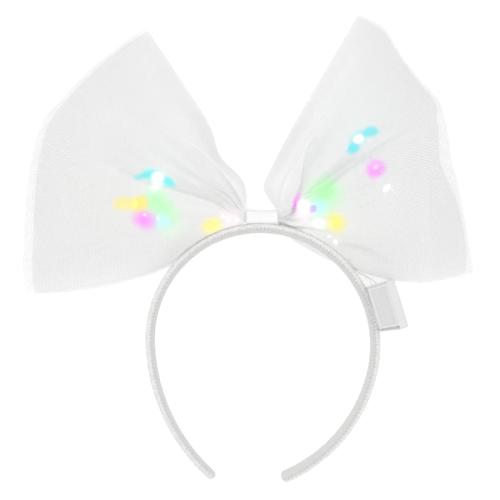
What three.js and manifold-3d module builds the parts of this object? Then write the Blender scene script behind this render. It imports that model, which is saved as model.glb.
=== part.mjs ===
// Light-up headband: a covered hoop with a net bow, fairy lights inside the bow and a coin-cell box.
// It lies on its back: X to the right, Y from the hoop's tips towards the bow, Z up through the bow's front.
// All sizes are millimetres and angles are degrees.
import * as THREE from "three";
import { mergeVertices } from "three/addons/utils/BufferGeometryUtils.js";
import Module from "manifold-3d";

const FIT_GAP = 0.3;

// The hoop's centreline, from the crown out to each tip as arcs that run into each other.
const CROWN = { x: 7.8, y: 12.2, slope: -1.9 };
const LEFT_LEG = [
  { radius: 61.7, sweep: 38.0, steps: 6 },
  { radius: 63.6, sweep: 55.6, steps: 8 },
  { radius: 106.0, sweep: 45.9, steps: 8 },
];
const RIGHT_LEG = [
  { radius: 64.6, sweep: 44.6, steps: 7 },
  { radius: 67.9, sweep: 56.4, steps: 8 },
  { radius: 85.4, sweep: 53.6, steps: 8 },
];
const BAND_THICK = 5.1;
const BAND_WIDE = 8.6;
const BAND_SECTION_POINTS = 12;
const RIGHT_TIP_TWIST = 27;
const TIP_ROUND = 2.6;
const TIP_Y = -127.6;
const HOOP_TILT = 4.9;

const KNOT = { x: 6.85, y: 18.9, z: 14, long: 18, tall: 7.6, deep: 14, wall: 1, waist: 0.3 };
const KNOT_STATIONS = 5;
const KNOT_RING_POINTS = 16;

const NET_WALL = 1.3;
const NET_KNOT_RISE = 5;
const NET_TAIL = 6;
const NET_KNOT_SPREAD = 1.7;
const NET_LAYER_STEP = { atKnot: 1.6, open: 3.8, reached: 14 };
const NET_BACK_STEP = 1.8;
const NET_SWELL_SHARE = 0.45;
const NET_FLOOR_REACH = 22;
const NET_FOLD_RADIUS = 3.2;
const NET_NOSE = { outer: 0.5, inner: 0.36 };
const NET_OPEN_STOPS = 3;
const GATHER_REACH = 26;

// One row per fold, from the top side edge to the bottom one.
// bearing is above the horizontal, reach is from the knot to the outer fold, frontBow and backBow are how far
// the front and back walls swing sideways on the way (upwards is plus), bowAt is where along the reach,
// rise is the front's height, gather lifts or sinks the fold near the knot, inset and turn place the inner loop.
const FOLD_COLUMNS = ["bearing", "reach", "frontBow", "backBow", "bowAt", "rise", "gather", "inset", "turn"];
const LEFT_FOLDS = [
  [62.0, 120.1, 8, 6, 0.13, 22, -1.0, 3.5, 0],
  [56.5, 121.0, 5, 3, 0.15, 31, 2.2, 3.5, 0],
  [48.5, 121.8, 2, 1, 0.2, 35, -1.5, 3.5, 0],
  [41.0, 123.0, 0, 0, 0.4, 38, 2.4, 3.5, 0],
  [33.0, 124.8, 0, 0, 0.4, 35, -2.6, 3.5, 0],
  [26.0, 128.0, 0, 0, 0.4, 39, 2.8, 4.0, 0],
  [16.0, 127.0, 0, 0, 0.4, 38, 0.4, 5.0, 0],
  [5.0, 125.8, 0, 0, 0.5, 36, 1.2, 5.5, 0],
  [-5.0, 127.0, -1, -3, 0.6, 32, -1.2, 5.5, 0],
  [-12.0, 130.0, -4, -8, 0.6, 25, 1.2, 5.5, 0],
  [-19.0, 133.2, -9, -13, 0.6, 18, 0.0, 5.0, -1],
];
const RIGHT_FOLDS = [
  [68.5, 124.4, 15, 11, 0.15, 23, -0.5, 3.5, 0],
  [64.5, 124.2, 9, 6, 0.16, 31, 2.6, 3.5, 0],
  [60.0, 123.0, 3, 2, 0.2, 31, -2.4, 4.0, 0],
  [52.0, 115.4, 1, 1, 0.3, 37, 1.8, 4.0, 0],
  [43.5, 112.8, 0, 0, 0.4, 38, 0.6, 5.0, 0],
  [36.0, 113.2, 0, 0, 0.4, 34, -2.8, 5.0, 0],
  [30.5, 110.4, 0, 0, 0.4, 39, 2.8, 6.0, 0],
  [18.4, 104.5, 0, 0, 0.4, 37, 0.8, 9.0, 0],
  [5.6, 104.8, 0, -3, 0.4, 33, -1.0, 12.0, 0],
  [-3.0, 107.5, 0, -7, 0.4, 28, 1.8, 13.0, 0],
  [-9.5, 111.0, 0, -12, 0.4, 22, -1.0, 12.0, -1.5],
  [-15.9, 116.2, 1, -17, 0.4, 17, 0.0, 8.5, -4],
];

// The lights in the order they hang on the wire: x, y, and depth under the bow's front.
const WIRE_DIAMETER = 0.8;
const WIRE_SIDES = 6;
const WIRE_STEP = 4;
const LIGHT = { diameter: 3.5, long: 5.8, sides: 8, bands: 5 };
const LEFT_LIGHTS = [
  { x: -52.4, y: 40.5, deep: 8, colour: "cyan" },
  { x: -54.0, y: 34.6, deep: 8, colour: "clear" },
  { x: -65.5, y: 26.2, deep: 8, colour: "yellow" },
  { x: -59.9, y: 18.2, deep: 8, colour: "magenta" },
  { x: -49.0, y: 18.0, deep: 8, colour: "green" },
  { x: -21.1, y: 14.6, deep: 8, colour: "yellow" },
  { x: -11.4, y: 18.4, deep: 6.6, colour: "rose" },
];
const RIGHT_LIGHTS = [
  { x: 29.6, y: 25.1, deep: 8.5, colour: "rose" },
  { x: 38.2, y: 24.0, deep: 9, colour: "violet" },
  { x: 43.3, y: 31.0, deep: 12, colour: "green" },
  { x: 61.6, y: 63.3, deep: 13, colour: "cyan" },
  { x: 70.7, y: 46.2, deep: 13, colour: "magenta" },
  { x: 77.5, y: 35.3, deep: 8, colour: "clear" },
  { x: 47.3, y: 16.0, deep: 9, colour: "yellow" },
  { x: 38.8, y: 14.8, deep: 8, colour: "white" },
  { x: 48.5, y: 4.2, deep: 11, colour: "clear" },
];
// Where each lead leaves the bow, follows the band's outer side and drops into the battery case.
const STRING_TAIL = [
  { x: 55.6, y: -3.6, z: 14.5 },
  { x: 62.2, y: -11.0, z: 15.5 },
  { x: 68.0, y: -16.4, z: 16 },
];
const LEAD_ROUTE = [
  { x: 52.4, y: 2.0, z: 12 },
  { x: 57.0, y: -3.2, z: 15 },
  { x: 63.8, y: -10.2, z: 15.8 },
  { x: 70.0, y: -15.2, z: 16 },
];
const LEAD_DEPTH_IN_CASE = 2;

const BOX = { x: 78.9, y: -32.2, lean: 17.2, long: 28.9, deep: 24 };
const CASE = { wide: 9.8, edge: 0.8, rim: 2.4, recess: 0.6 };
const LID = { wide: 4.7, corner: 1.8, inset: 0.2 };
const LEAD_OFFSETS = [3.0, 5.2];

const FINISHES = {
  band_cover: { color: 0xe6e4e2, roughness: 0.85 },
  satin: { color: 0xf6f5f4, roughness: 0.35 },
  net: { color: 0xf2f2f2, roughness: 0.9 },
  wire: { color: 0xd9d9d6, roughness: 0.4 },
  case_plastic: { color: 0xe2e1de, roughness: 0.4 },
  lid_plastic: { color: 0xebeae8, roughness: 0.45 },
  light_cyan: { color: 0x8fe6f5, roughness: 0.2 },
  light_clear: { color: 0xf0f4f4, roughness: 0.15 },
  light_yellow: { color: 0xf6dc4a, roughness: 0.2 },
  light_magenta: { color: 0xee5fc6, roughness: 0.2 },
  light_green: { color: 0x9df0a8, roughness: 0.2 },
  light_rose: { color: 0xf9d3e6, roughness: 0.2 },
  light_violet: { color: 0x9a6cf2, roughness: 0.2 },
  light_white: { color: 0xf7f7f2, roughness: 0.2 },
};

const manifoldLibrary = await Module();
manifoldLibrary.setup();

const radians = THREE.MathUtils.degToRad;
const lerp = THREE.MathUtils.lerp;
const clamp = THREE.MathUtils.clamp;
const materials = {};
for (const [name, finish] of Object.entries(FINISHES)) {
  materials[name] = new THREE.MeshStandardMaterial({ name, metalness: 0, ...finish });
}

const headband = new THREE.Group();

function addPart(name, geometry, finish) {
  const mesh = new THREE.Mesh(geometry, materials[finish]);
  mesh.name = name;
  headband.add(mesh);
  return mesh;
}

function toSolid(geometry) {
  const plain = geometry.clone();
  plain.deleteAttribute("normal");
  plain.deleteAttribute("uv");
  const merged = mergeVertices(plain, 1e-4);
  const mesh = new manifoldLibrary.Mesh({
    numProp: 3,
    vertProperties: Float32Array.from(merged.attributes.position.array),
    triVerts: Uint32Array.from(merged.index.array),
  });
  return new manifoldLibrary.Manifold(mesh);
}

function fromSolid(solid) {
  const mesh = solid.getMesh();
  const geometry = new THREE.BufferGeometry();
  const places = new Float32Array(mesh.numVert * 3);
  for (let i = 0; i < mesh.numVert; i += 1) {
    places.set(mesh.vertProperties.subarray(i * mesh.numProp, i * mesh.numProp + 3), i * 3);
  }
  geometry.setAttribute("position", new THREE.BufferAttribute(places, 3));
  geometry.setIndex(new THREE.BufferAttribute(Uint32Array.from(mesh.triVerts), 1));
  geometry.computeVertexNormals();
  return geometry;
}

// A closed skin through rings of equal point count, with cap giving the triangles that close an end ring.
function skin(rings, cap) {
  const size = rings[0].length;
  const places = [];
  const faces = [];
  for (const point of rings.flat()) {
    places.push(point.x, point.y, point.z);
  }
  for (let ring = 0; ring < rings.length - 1; ring += 1) {
    for (let i = 0; i < size; i += 1) {
      const a = ring * size + i;
      const b = ring * size + ((i + 1) % size);
      faces.push(a, b, a + size, b, b + size, a + size);
    }
  }
  const last = (rings.length - 1) * size;
  for (const [a, b, c] of cap(size)) {
    faces.push(a, c, b, last + a, last + b, last + c);
  }
  const geometry = new THREE.BufferGeometry();
  geometry.setAttribute("position", new THREE.Float32BufferAttribute(places, 3));
  geometry.setIndex(facingOut(places, faces));
  geometry.computeVertexNormals();
  return geometry;
}

function facingOut(places, faces) {
  const corner = (i) => new THREE.Vector3().fromArray(places, 3 * i);
  let volume = 0;
  for (let i = 0; i < faces.length; i += 3) {
    volume += corner(faces[i]).dot(corner(faces[i + 1]).cross(corner(faces[i + 2])));
  }
  if (volume > 0) {
    return faces;
  }
  return faces.map((_, i) => faces[3 * Math.floor(i / 3) + 2 - (i % 3)]);
}

// Fans the end of a convex ring from its first point.
function fanCap(size) {
  const triangles = [];
  for (let i = 1; i < size - 1; i += 1) {
    triangles.push([0, i, i + 1]);
  }
  return triangles;
}

// Closes the end of a ring that runs out along one skin of a wall and back along the other.
function wallCap(size) {
  const triangles = [];
  for (let i = 0; i < size / 2 - 1; i += 1) {
    const far = size - 1 - i;
    triangles.push([i, i + 1, far], [i + 1, far - 1, far]);
  }
  return triangles;
}

function legStations(leg, side) {
  const stations = [];
  let heading = radians(CROWN.slope);
  let x = CROWN.x;
  let y = CROWN.y;
  for (const arc of leg) {
    const turn = radians(arc.sweep) / arc.steps;
    const chord = 2 * arc.radius * Math.sin(turn / 2);
    for (let i = 0; i < arc.steps; i += 1) {
      const along = heading - (side * turn) / 2;
      x += side * chord * Math.cos(along);
      y += side * chord * Math.sin(along);
      heading -= side * turn;
      stations.push({ x, y, heading, side });
    }
  }
  return stations;
}

function hoopStations() {
  const left = legStations(LEFT_LEG, -1).reverse();
  const right = legStations(RIGHT_LEG, 1);
  const crown = { x: CROWN.x, y: CROWN.y, heading: radians(CROWN.slope), side: 1 };
  right.forEach((station, i) => {
    station.twist = radians(RIGHT_TIP_TWIST) * ((i + 1) / right.length) ** 2;
  });
  return [...left, crown, ...right];
}

function bandHeight(y) {
  return BAND_WIDE / 2 + (y - TIP_Y) * Math.tan(radians(HOOP_TILT));
}

// The stadium section at one place on the hoop, shrunk and pushed along it for the rounded tips.
function bandRing(station, scale, push) {
  const core = (BAND_WIDE - BAND_THICK) / 2;
  const half = BAND_THICK / 2;
  const twist = station.twist || 0;
  const along = new THREE.Vector3(Math.cos(station.heading), Math.sin(station.heading), 0);
  const outward = new THREE.Vector3(-along.y, along.x, 0);
  const middle = new THREE.Vector3(station.x, station.y, bandHeight(station.y)).addScaledVector(along, push);
  const ring = [];
  for (let i = 0; i < BAND_SECTION_POINTS; i += 1) {
    const angle = ((i + 0.5) / BAND_SECTION_POINTS) * 2 * Math.PI;
    const across = half * Math.cos(angle) * scale;
    const up = (half * Math.sin(angle) + core * Math.sign(Math.sin(angle))) * scale;
    const turnedAcross = across * Math.cos(twist) + up * Math.sin(twist);
    const turnedUp = up * Math.cos(twist) - across * Math.sin(twist);
    const point = middle.clone().addScaledVector(outward, turnedAcross);
    point.z += turnedUp;
    ring.push(point);
  }
  return ring;
}

function makeBand() {
  const stations = hoopStations();
  const first = stations[0];
  const last = stations[stations.length - 1];
  const tipAngles = [30, 65];
  const startTip = tipAngles.map((a) => bandRing(first, Math.cos(radians(a)), -TIP_ROUND * Math.sin(radians(a))));
  const endTip = tipAngles.map((a) => bandRing(last, Math.cos(radians(a)), TIP_ROUND * Math.sin(radians(a))));
  const middle = stations.map((station) => bandRing(station, 1, 0));
  addPart("band", skin([...startTip.reverse(), ...middle, ...endTip], fanCap), "band_cover");
}

// A ribbon wrapped round the gathered net: a flattened ring run along X, a little waisted in the middle.
function makeKnotRibbon() {
  const ringAt = (share, inset) => {
    const waist = KNOT.waist * (1 - (2 * share - 1) ** 2);
    const tall = KNOT.tall / 2 - inset - (inset ? 0 : waist);
    const deep = KNOT.deep / 2 - inset - (inset ? 0 : waist);
    const ring = [];
    for (let i = 0; i < KNOT_RING_POINTS; i += 1) {
      const angle = ((i + 0.5) / KNOT_RING_POINTS) * 2 * Math.PI;
      const flat = (v) => Math.sign(v) * Math.abs(v) ** 0.5;
      ring.push(
        new THREE.Vector3(
          KNOT.x + (share - 0.5) * KNOT.long,
          KNOT.y + tall * flat(Math.cos(angle)),
          KNOT.z + deep * flat(Math.sin(angle)),
        ),
      );
    }
    return ring;
  };
  const outside = [];
  const inside = [];
  for (let i = 0; i < KNOT_STATIONS; i += 1) {
    const share = i / (KNOT_STATIONS - 1);
    outside.push(ringAt(share, 0));
    inside.push(ringAt(share, KNOT.wall + KNOT.waist));
  }
  const rows = [];
  for (let i = 0; i < KNOT_RING_POINTS; i += 1) {
    rows.push([...outside.map((ring) => ring[i]), ...inside.map((ring) => ring[i]).reverse()]);
  }
  rows.push(rows[0].map((point) => point.clone()));
  const geometry = skin(rows, () => []);
  addPart("knot_ribbon", mergeVertices(geometry, 1e-4), "satin");
}

function foldRows(table) {
  const rows = table.map((row) => Object.fromEntries(FOLD_COLUMNS.map((column, i) => [column, row[i]])));
  rows.forEach((row, i) => {
    row.start = NET_KNOT_SPREAD * (1 - (2 * i) / (rows.length - 1));
  });
  return rows;
}

const LOBES = {
  left: { side: -1, x: KNOT.x - KNOT.long / 2 - 0.5, y: KNOT.y, rows: foldRows(LEFT_FOLDS) },
  right: { side: 1, x: KNOT.x + KNOT.long / 2 + 0.5, y: KNOT.y, rows: foldRows(RIGHT_FOLDS) },
};

// A hump from 0 to 1 and back along the share of the way, highest at peak.
function hump(share, peak) {
  const s = clamp(share, 0, 1);
  return s < peak ? smooth(s / peak) : 1 - ((s - peak) / (1 - peak)) ** 1.3;
}

function smooth(share) {
  const s = clamp(share, 0, 1);
  return s * s * (3 - 2 * s);
}

// The fold values at a bearing, between the rows of the table.
function foldAt(lobe, bearing, column) {
  const rows = lobe.rows;
  if (bearing >= rows[0].bearing) {
    return rows[0][column];
  }
  for (let i = 1; i < rows.length; i += 1) {
    if (bearing >= rows[i].bearing) {
      const share = (rows[i - 1].bearing - bearing) / (rows[i - 1].bearing - rows[i].bearing);
      return lerp(rows[i - 1][column], rows[i][column], share);
    }
  }
  return rows[rows.length - 1][column];
}

function polar(lobe, x, y) {
  const out = lobe.side * (x - lobe.x);
  const up = y - lobe.y;
  return { far: out > 0 ? Math.hypot(out, up) : 0, bearing: THREE.MathUtils.radToDeg(Math.atan2(up, out)) };
}

// Runs from 1 to 0 over the last stretch before the fold, as a quarter ellipse.
function nose(far, reach, share) {
  const into = clamp((far / reach - 1 + share) / share, 0, 1);
  return Math.sqrt(1 - into * into);
}

function frontHeight(lobe, x, y) {
  const { far, bearing } = polar(lobe, x, y);
  const reach = foldAt(lobe, bearing, "reach");
  const knotTop = KNOT.z + NET_KNOT_RISE;
  const near = far / GATHER_REACH;
  const gather = foldAt(lobe, bearing, "gather") * near * Math.exp(1 - near);
  const swollen = lerp(knotTop, foldAt(lobe, bearing, "rise"), smooth(far / reach / NET_SWELL_SHARE));
  return lerp(NET_FOLD_RADIUS, swollen + gather, nose(far, reach, NET_NOSE.outer));
}

function layerStep(far) {
  return lerp(NET_LAYER_STEP.atKnot, NET_LAYER_STEP.open, smooth(far / NET_LAYER_STEP.reached));
}

function innerFrontHeight(lobe, x, y) {
  const { far, bearing } = polar(lobe, x, y);
  const reach = foldAt(lobe, bearing, "reach") - foldAt(lobe, bearing, "inset");
  const under = frontHeight(lobe, x, y) - layerStep(far);
  const fold = NET_BACK_STEP + NET_FOLD_RADIUS;
  return lerp(fold, Math.max(under, fold), nose(far, reach, NET_NOSE.inner));
}

function backHeight(far, reach) {
  const knotBottom = KNOT.z - NET_KNOT_RISE;
  const fold = NET_FOLD_RADIUS * (1 - nose(far, reach, NET_FOLD_RADIUS / reach));
  return lerp(knotBottom, 0, smooth(far / NET_FLOOR_REACH)) + fold;
}

function rowPlace(lobe, row, far, bow) {
  if (far <= 0) {
    return { x: lobe.x + lobe.side * far, y: lobe.y + row.start };
  }
  const share = far / row.reach;
  const swing = bow * hump(share, row.bowAt);
  const angle = radians(row.bearing);
  const out = far * Math.cos(angle) - swing * Math.sin(angle);
  const up = far * Math.sin(angle) + swing * Math.cos(angle) + row.start * (1 - clamp(share, 0, 1));
  return { x: lobe.x + lobe.side * out, y: lobe.y + up };
}

// The distances from the knot at which a wall has points: few on the open stretches, more round the fold.
function frontStops(reach, noseShare) {
  const open = reach * (1 - noseShare);
  const stops = [-NET_TAIL, 0, 4, 10, 18, 28];
  for (let i = 1; i <= NET_OPEN_STOPS; i += 1) {
    stops.push(lerp(28, open, i / NET_OPEN_STOPS));
  }
  for (const angle of [22, 40, 55, 67, 77, 85]) {
    stops.push(open + (reach - open) * Math.sin(radians(angle)));
  }
  return stops;
}

function backStops(reach) {
  const stops = [reach, reach - 0.35 * NET_FOLD_RADIUS, reach - NET_FOLD_RADIUS];
  for (const share of [0.8, 0.6, 0.42, 0.3]) {
    stops.push(reach * share);
  }
  return [...stops, 22, 15, 9, 4, 0, -NET_TAIL];
}

// One side fold of a loop: its outline out along the front, round the outer fold and home along the back,
// then the same outline again one wall further in.
function loopRing(lobe, row, front, lift, noseShare) {
  const outline = [];
  for (const far of frontStops(row.reach, noseShare)) {
    const place = rowPlace(lobe, row, far, row.frontBow);
    outline.push({ far, z: front(lobe, place.x, place.y), bow: row.frontBow });
  }
  for (const far of backStops(row.reach)) {
    outline.push({ far, z: backHeight(far, row.reach) + lift, bow: row.backBow });
  }
  const outer = outline.map((stop) => wallPoint(lobe, row, stop, 0, 0));
  const inner = outline.map((stop, i) => {
    const before = outline[Math.max(i - 1, 0)];
    const after = outline[Math.min(i + 1, outline.length - 1)];
    const length = Math.hypot(after.far - before.far, after.z - before.z);
    const inFar = (NET_WALL * (after.z - before.z)) / length;
    const inUp = (-NET_WALL * (after.far - before.far)) / length;
    return wallPoint(lobe, row, stop, inFar, inUp);
  });
  return [...outer, ...inner.reverse()];
}

function wallPoint(lobe, row, stop, inFar, inUp) {
  const place = rowPlace(lobe, row, stop.far + inFar, stop.bow);
  return new THREE.Vector3(place.x, place.y, stop.z + inUp);
}

function makeLoops(side) {
  const lobe = LOBES[side];
  const outer = lobe.rows.map((row) => loopRing(lobe, row, frontHeight, 0, NET_NOSE.outer));
  addPart(`tulle_outer_${side}`, skin(outer, wallCap), "net");
  const inner = lobe.rows.map((row) => {
    const nested = { ...row, reach: row.reach - row.inset, bearing: row.bearing + row.turn };
    return loopRing(lobe, nested, innerFrontHeight, NET_BACK_STEP, NET_NOSE.inner);
  });
  addPart(`tulle_inner_${side}`, skin(inner, wallCap), "net");
}

function lightPlace(lobe, light) {
  return new THREE.Vector3(light.x, light.y, frontHeight(lobe, light.x, light.y) - light.deep);
}

function tube(curve, diameter) {
  const section = new THREE.Shape();
  for (let i = 0; i < WIRE_SIDES; i += 1) {
    const angle = (i / WIRE_SIDES) * 2 * Math.PI;
    const x = (diameter / 2) * Math.cos(angle);
    const y = (diameter / 2) * Math.sin(angle);
    if (i === 0) {
      section.moveTo(x, y);
    } else {
      section.lineTo(x, y);
    }
  }
  const steps = Math.round(curve.getLength() / WIRE_STEP);
  return new THREE.ExtrudeGeometry(section, { extrudePath: curve, steps, bevelEnabled: false });
}

const vector = (place) => new THREE.Vector3(place.x, place.y, place.z);

// A place on the case's top end where a lead goes in: offset is from the face that lies on the band.
function leadMouth(offset, depth) {
  const place = new THREE.Vector3(offset - (CASE.wide + LID.wide + FIT_GAP) / 2, BOX.long / 2 - depth, 16);
  return place.applyAxisAngle(new THREE.Vector3(0, 0, 1), radians(BOX.lean)).add(new THREE.Vector3(BOX.x, BOX.y, 0));
}

function wireCurves() {
  const left = LEFT_LIGHTS.map((light) => lightPlace(LOBES.left, light));
  const right = RIGHT_LIGHTS.map((light) => lightPlace(LOBES.right, light));
  const throughKnot = [-1, 1].map((side) => new THREE.Vector3(KNOT.x + (side * KNOT.long) / 2, KNOT.y, KNOT.z));
  const intoCase = (offset) => [leadMouth(offset, -1.5), leadMouth(offset, LEAD_DEPTH_IN_CASE - FIT_GAP)];
  return {
    lights: { left, right },
    string: new THREE.CatmullRomCurve3(
      [...left, ...throughKnot, ...right, ...STRING_TAIL.map(vector), ...intoCase(LEAD_OFFSETS[0])],
      false,
      "centripetal",
    ),
    lead: new THREE.CatmullRomCurve3(
      [...LEAD_ROUTE.map(vector), ...intoCase(LEAD_OFFSETS[1])],
      false,
      "centripetal",
    ),
  };
}

function nearestTangent(curve, place) {
  let best = { gap: Infinity, tangent: null };
  for (let i = 0; i <= 2000; i += 1) {
    const gap = curve.getPoint(i / 2000).distanceTo(place);
    if (gap < best.gap) {
      best = { gap, tangent: curve.getTangent(i / 2000) };
    }
  }
  return best.tangent;
}

function makeLights(curves) {
  const bore = toSolid(tube(curves.string, WIRE_DIAMETER + 2 * FIT_GAP));
  const specs = { left: LEFT_LIGHTS, right: RIGHT_LIGHTS };
  for (const side of ["left", "right"]) {
    curves.lights[side].forEach((place, i) => {
      const drop = new THREE.SphereGeometry(LIGHT.diameter / 2, LIGHT.sides, LIGHT.bands);
      drop.scale(1, LIGHT.long / LIGHT.diameter, 1);
      const turn = new THREE.Quaternion();
      turn.setFromUnitVectors(new THREE.Vector3(0, 1, 0), nearestTangent(curves.string, place));
      drop.applyQuaternion(turn);
      drop.translate(place.x, place.y, place.z);
      const drilled = toSolid(drop).subtract(bore);
      addPart(`led_${side}_${i + 1}`, fromSolid(drilled), `light_${specs[side][i].colour}`);
    });
  }
}

function makeWires(curves) {
  addPart("light_string", tube(curves.string, WIRE_DIAMETER), "wire");
  addPart("lead_wire", tube(curves.lead, WIRE_DIAMETER), "wire");
}

// A block with trimmed long edges, its foot on the floor, standing where the battery box does.
function boxBlock(outline, deep, x) {
  const block = new THREE.ExtrudeGeometry(outline, { depth: deep, bevelEnabled: false, curveSegments: 4 });
  block.translate(x, 0, 0);
  return block;
}

function trimmedOutline(wide, long, trim) {
  const outline = new THREE.Shape();
  outline.moveTo(0, -long / 2 + trim);
  outline.lineTo(trim, -long / 2);
  outline.lineTo(wide, -long / 2);
  outline.lineTo(wide, long / 2);
  outline.lineTo(trim, long / 2);
  outline.lineTo(0, long / 2 - trim);
  outline.closePath();
  return outline;
}

function roundedLidOutline(wide, long, corner) {
  const outline = new THREE.Shape();
  outline.moveTo(0, -long / 2);
  outline.lineTo(wide - corner, -long / 2);
  outline.absarc(wide - corner, -long / 2 + corner, corner, -Math.PI / 2, 0, false);
  outline.lineTo(wide, long / 2 - corner);
  outline.absarc(wide - corner, long / 2 - corner, corner, 0, Math.PI / 2, false);
  outline.lineTo(0, long / 2);
  outline.closePath();
  return outline;
}

function standOnBand(geometry) {
  geometry.rotateZ(radians(BOX.lean));
  geometry.translate(BOX.x, BOX.y, 0);
  return geometry;
}

function makeBatteryBox(curves) {
  const left = -(CASE.wide + LID.wide + FIT_GAP) / 2;
  const body = standOnBand(boxBlock(trimmedOutline(CASE.wide, BOX.long, CASE.edge), BOX.deep, left));
  const panel = new THREE.BoxGeometry(CASE.wide - 2 * CASE.rim, BOX.long - 2 * CASE.rim, 2 * CASE.recess);
  panel.translate(left + CASE.wide / 2, 0, BOX.deep);
  const mouths = LEAD_OFFSETS.map((offset) => {
    const top = leadMouth(offset, -1);
    const foot = leadMouth(offset, LEAD_DEPTH_IN_CASE);
    return toSolid(tube(new THREE.LineCurve3(top, foot), WIRE_DIAMETER + 3 * FIT_GAP));
  });
  let solid = toSolid(body).subtract(toSolid(standOnBand(panel)));
  for (const mouth of mouths) {
    solid = solid.subtract(mouth);
  }
  addPart("battery_case", fromSolid(solid), "case_plastic");
  const lidLong = BOX.long - 2 * LID.inset;
  const lid = boxBlock(roundedLidOutline(LID.wide, lidLong, LID.corner), BOX.deep, left + CASE.wide + FIT_GAP);
  addPart("battery_lid", standOnBand(lid), "lid_plastic");
}

// Slides the finished part so that the middle of its box stands over the origin.
function centreOverOrigin() {
  const box = new THREE.Box3().setFromObject(headband);
  const middle = box.getCenter(new THREE.Vector3());
  headband.position.set(-middle.x, -middle.y, -box.min.z);
}

const curves = wireCurves();
makeBand();
makeKnotRibbon();
makeLoops("left");
makeLoops("right");
makeWires(curves);
makeLights(curves);
makeBatteryBox(curves);
centreOverOrigin();
headband.updateMatrixWorld(true);

export default headband;
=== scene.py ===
"""A light-up headband: a covered hoop, a net bow with fairy lights inside it, a satin knot and a battery box.

It lies on its back on a white floor and the camera looks straight down on it. Lengths in the tables are
millimetres, Blender's are metres.
"""
import math

import bmesh
import bpy
from mathutils import Matrix, Vector, kdtree, noise


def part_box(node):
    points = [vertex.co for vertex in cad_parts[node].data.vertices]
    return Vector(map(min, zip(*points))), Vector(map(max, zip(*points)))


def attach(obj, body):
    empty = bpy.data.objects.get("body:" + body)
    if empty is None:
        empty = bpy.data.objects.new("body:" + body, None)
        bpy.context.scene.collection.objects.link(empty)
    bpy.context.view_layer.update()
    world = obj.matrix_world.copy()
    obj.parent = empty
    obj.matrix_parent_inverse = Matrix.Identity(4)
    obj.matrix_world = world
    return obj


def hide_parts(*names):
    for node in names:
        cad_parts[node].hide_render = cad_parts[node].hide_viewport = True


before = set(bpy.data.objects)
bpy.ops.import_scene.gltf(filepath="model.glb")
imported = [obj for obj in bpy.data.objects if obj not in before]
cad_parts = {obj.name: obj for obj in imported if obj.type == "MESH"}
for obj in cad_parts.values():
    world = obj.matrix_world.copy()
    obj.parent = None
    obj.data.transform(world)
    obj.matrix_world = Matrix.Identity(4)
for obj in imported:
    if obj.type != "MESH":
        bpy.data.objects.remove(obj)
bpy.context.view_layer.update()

MM = 0.001

# The camera: 500 pixels of 0.57 mm, seen from far above.
FRAME_WIDTH = 285.0
CAMERA_HEIGHT = 4000.0
MEASURED_HEIGHT = 12.0
SENSOR_WIDTH = 36.0
CAMERA_SEES = 20.0

# The room: its brightness, the floor's shades and glow, and each lamp's place, size (metres) and watts.
ROOM_BRIGHTNESS = 0.78
FLOOR_SIZE, FLOOR_SHADES, FLOOR_GLOW = 4.0, (0.61, 0.63), 0.48
LAMPS = {
    "key": ((-0.7, 0.5, 1.4), 0.8, 4.0),
    "fill": ((1.0, -0.6, 1.4), 1.2, 3.2),
    "top": ((0.0, 0.0, 1.9), 1.0, 4.5),
}

# The hoop's centreline from the crown to each tip, as arcs that run into each other.
CROWN_X, CROWN_Y, CROWN_SLOPE = 7.8, 12.2, -1.9
LEFT_ARCS = ((61.7, 38.0), (63.6, 55.6), (106.0, 45.9))
RIGHT_ARCS = ((64.6, 44.6), (67.9, 56.4), (85.4, 53.6))
BAND_THICK = 5.1
BAND_WIDE = 8.6
BAND_PILE = 0.45
BAND_TIP_ROUND = 2.6
BAND_TIP_Y = -127.6
HOOP_TILT = math.radians(4.9)
RIGHT_TIP_TWIST = math.radians(27)
BAND_GIRTH = 2 * (BAND_WIDE - BAND_THICK) + math.pi * BAND_THICK
BAND_AROUND, BAND_ALONG = 28, 1700
BAND_SQUARENESS = 4.0
HOOP_POINTS = 300
BAND_RIB_PITCH = 2.1
BAND_RIB_DEPTH = 0.26
BAND_RIB_SLANT = 2.0
BAND_RIB_FADE = 6.0
# Shares of the girth from the middle of the inner side: where the darker inner side ends, each row of
# stitches with where in its pitch it starts, and how wide a row is. A stitch fades in over the beat's
# range of its wave.
BAND_INNER_DARK_EDGE = (0.275, 0.225)
BAND_STITCH_ROWS = ((0.25, 0.0), (0.19, 0.5))
BAND_STITCH_WIDE = (0.04, 0.012)
BAND_STITCH_PITCH = 2.1
BAND_STITCH_SLANT = 6.0
BAND_STITCH_BEAT = (-0.2, 0.6)
BAND_SHADES = ((0.74, 0.735, 0.73, 1), (0.84, 0.835, 0.83, 1))
BAND_INNER_DARK_TONE = (0.68, 0.675, 0.67, 1)
# The stitches' pits are painted darker as the shade in them.
BAND_PIT_PAINTED_SHADE = (0.5, 0.495, 0.49, 1)

KNOT_X, KNOT_Y, KNOT_Z = 6.85, 18.9, 14.0
KNOT_LONG, KNOT_TALL, KNOT_DEEP = 18.0, 7.6, 14.0
KNOT_WALL = 0.6
KNOT_ROUNDING = 0.9
KNOT_GIRTH = 2 * (KNOT_TALL + KNOT_DEEP) * KNOT_ROUNDING
KNOT_AROUND, KNOT_ALONG = 128, 40
KNOT_SQUARENESS = 0.6
# The ribbon flares all over and at its ends, ripples in slanted waves (height, count and slant) and laps
# over itself on the front.
KNOT_FLARE_TOP, KNOT_FLARE_FOOT, KNOT_FLARE_DEEP = (0.0, 0.55), (0.9, 0.1), 0.4
KNOT_RIPPLES = ((0.08, 9, 2.2), (0.05, 17, -3))
KNOT_IN_TALL, KNOT_IN_DEEP = 0.2, 0.3
KNOT_LAP, KNOT_LAP_AT, KNOT_LAP_WIDE = -0.5, 0.02, 0.16
SATIN_SHADES = (0.87, 0.94)

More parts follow.
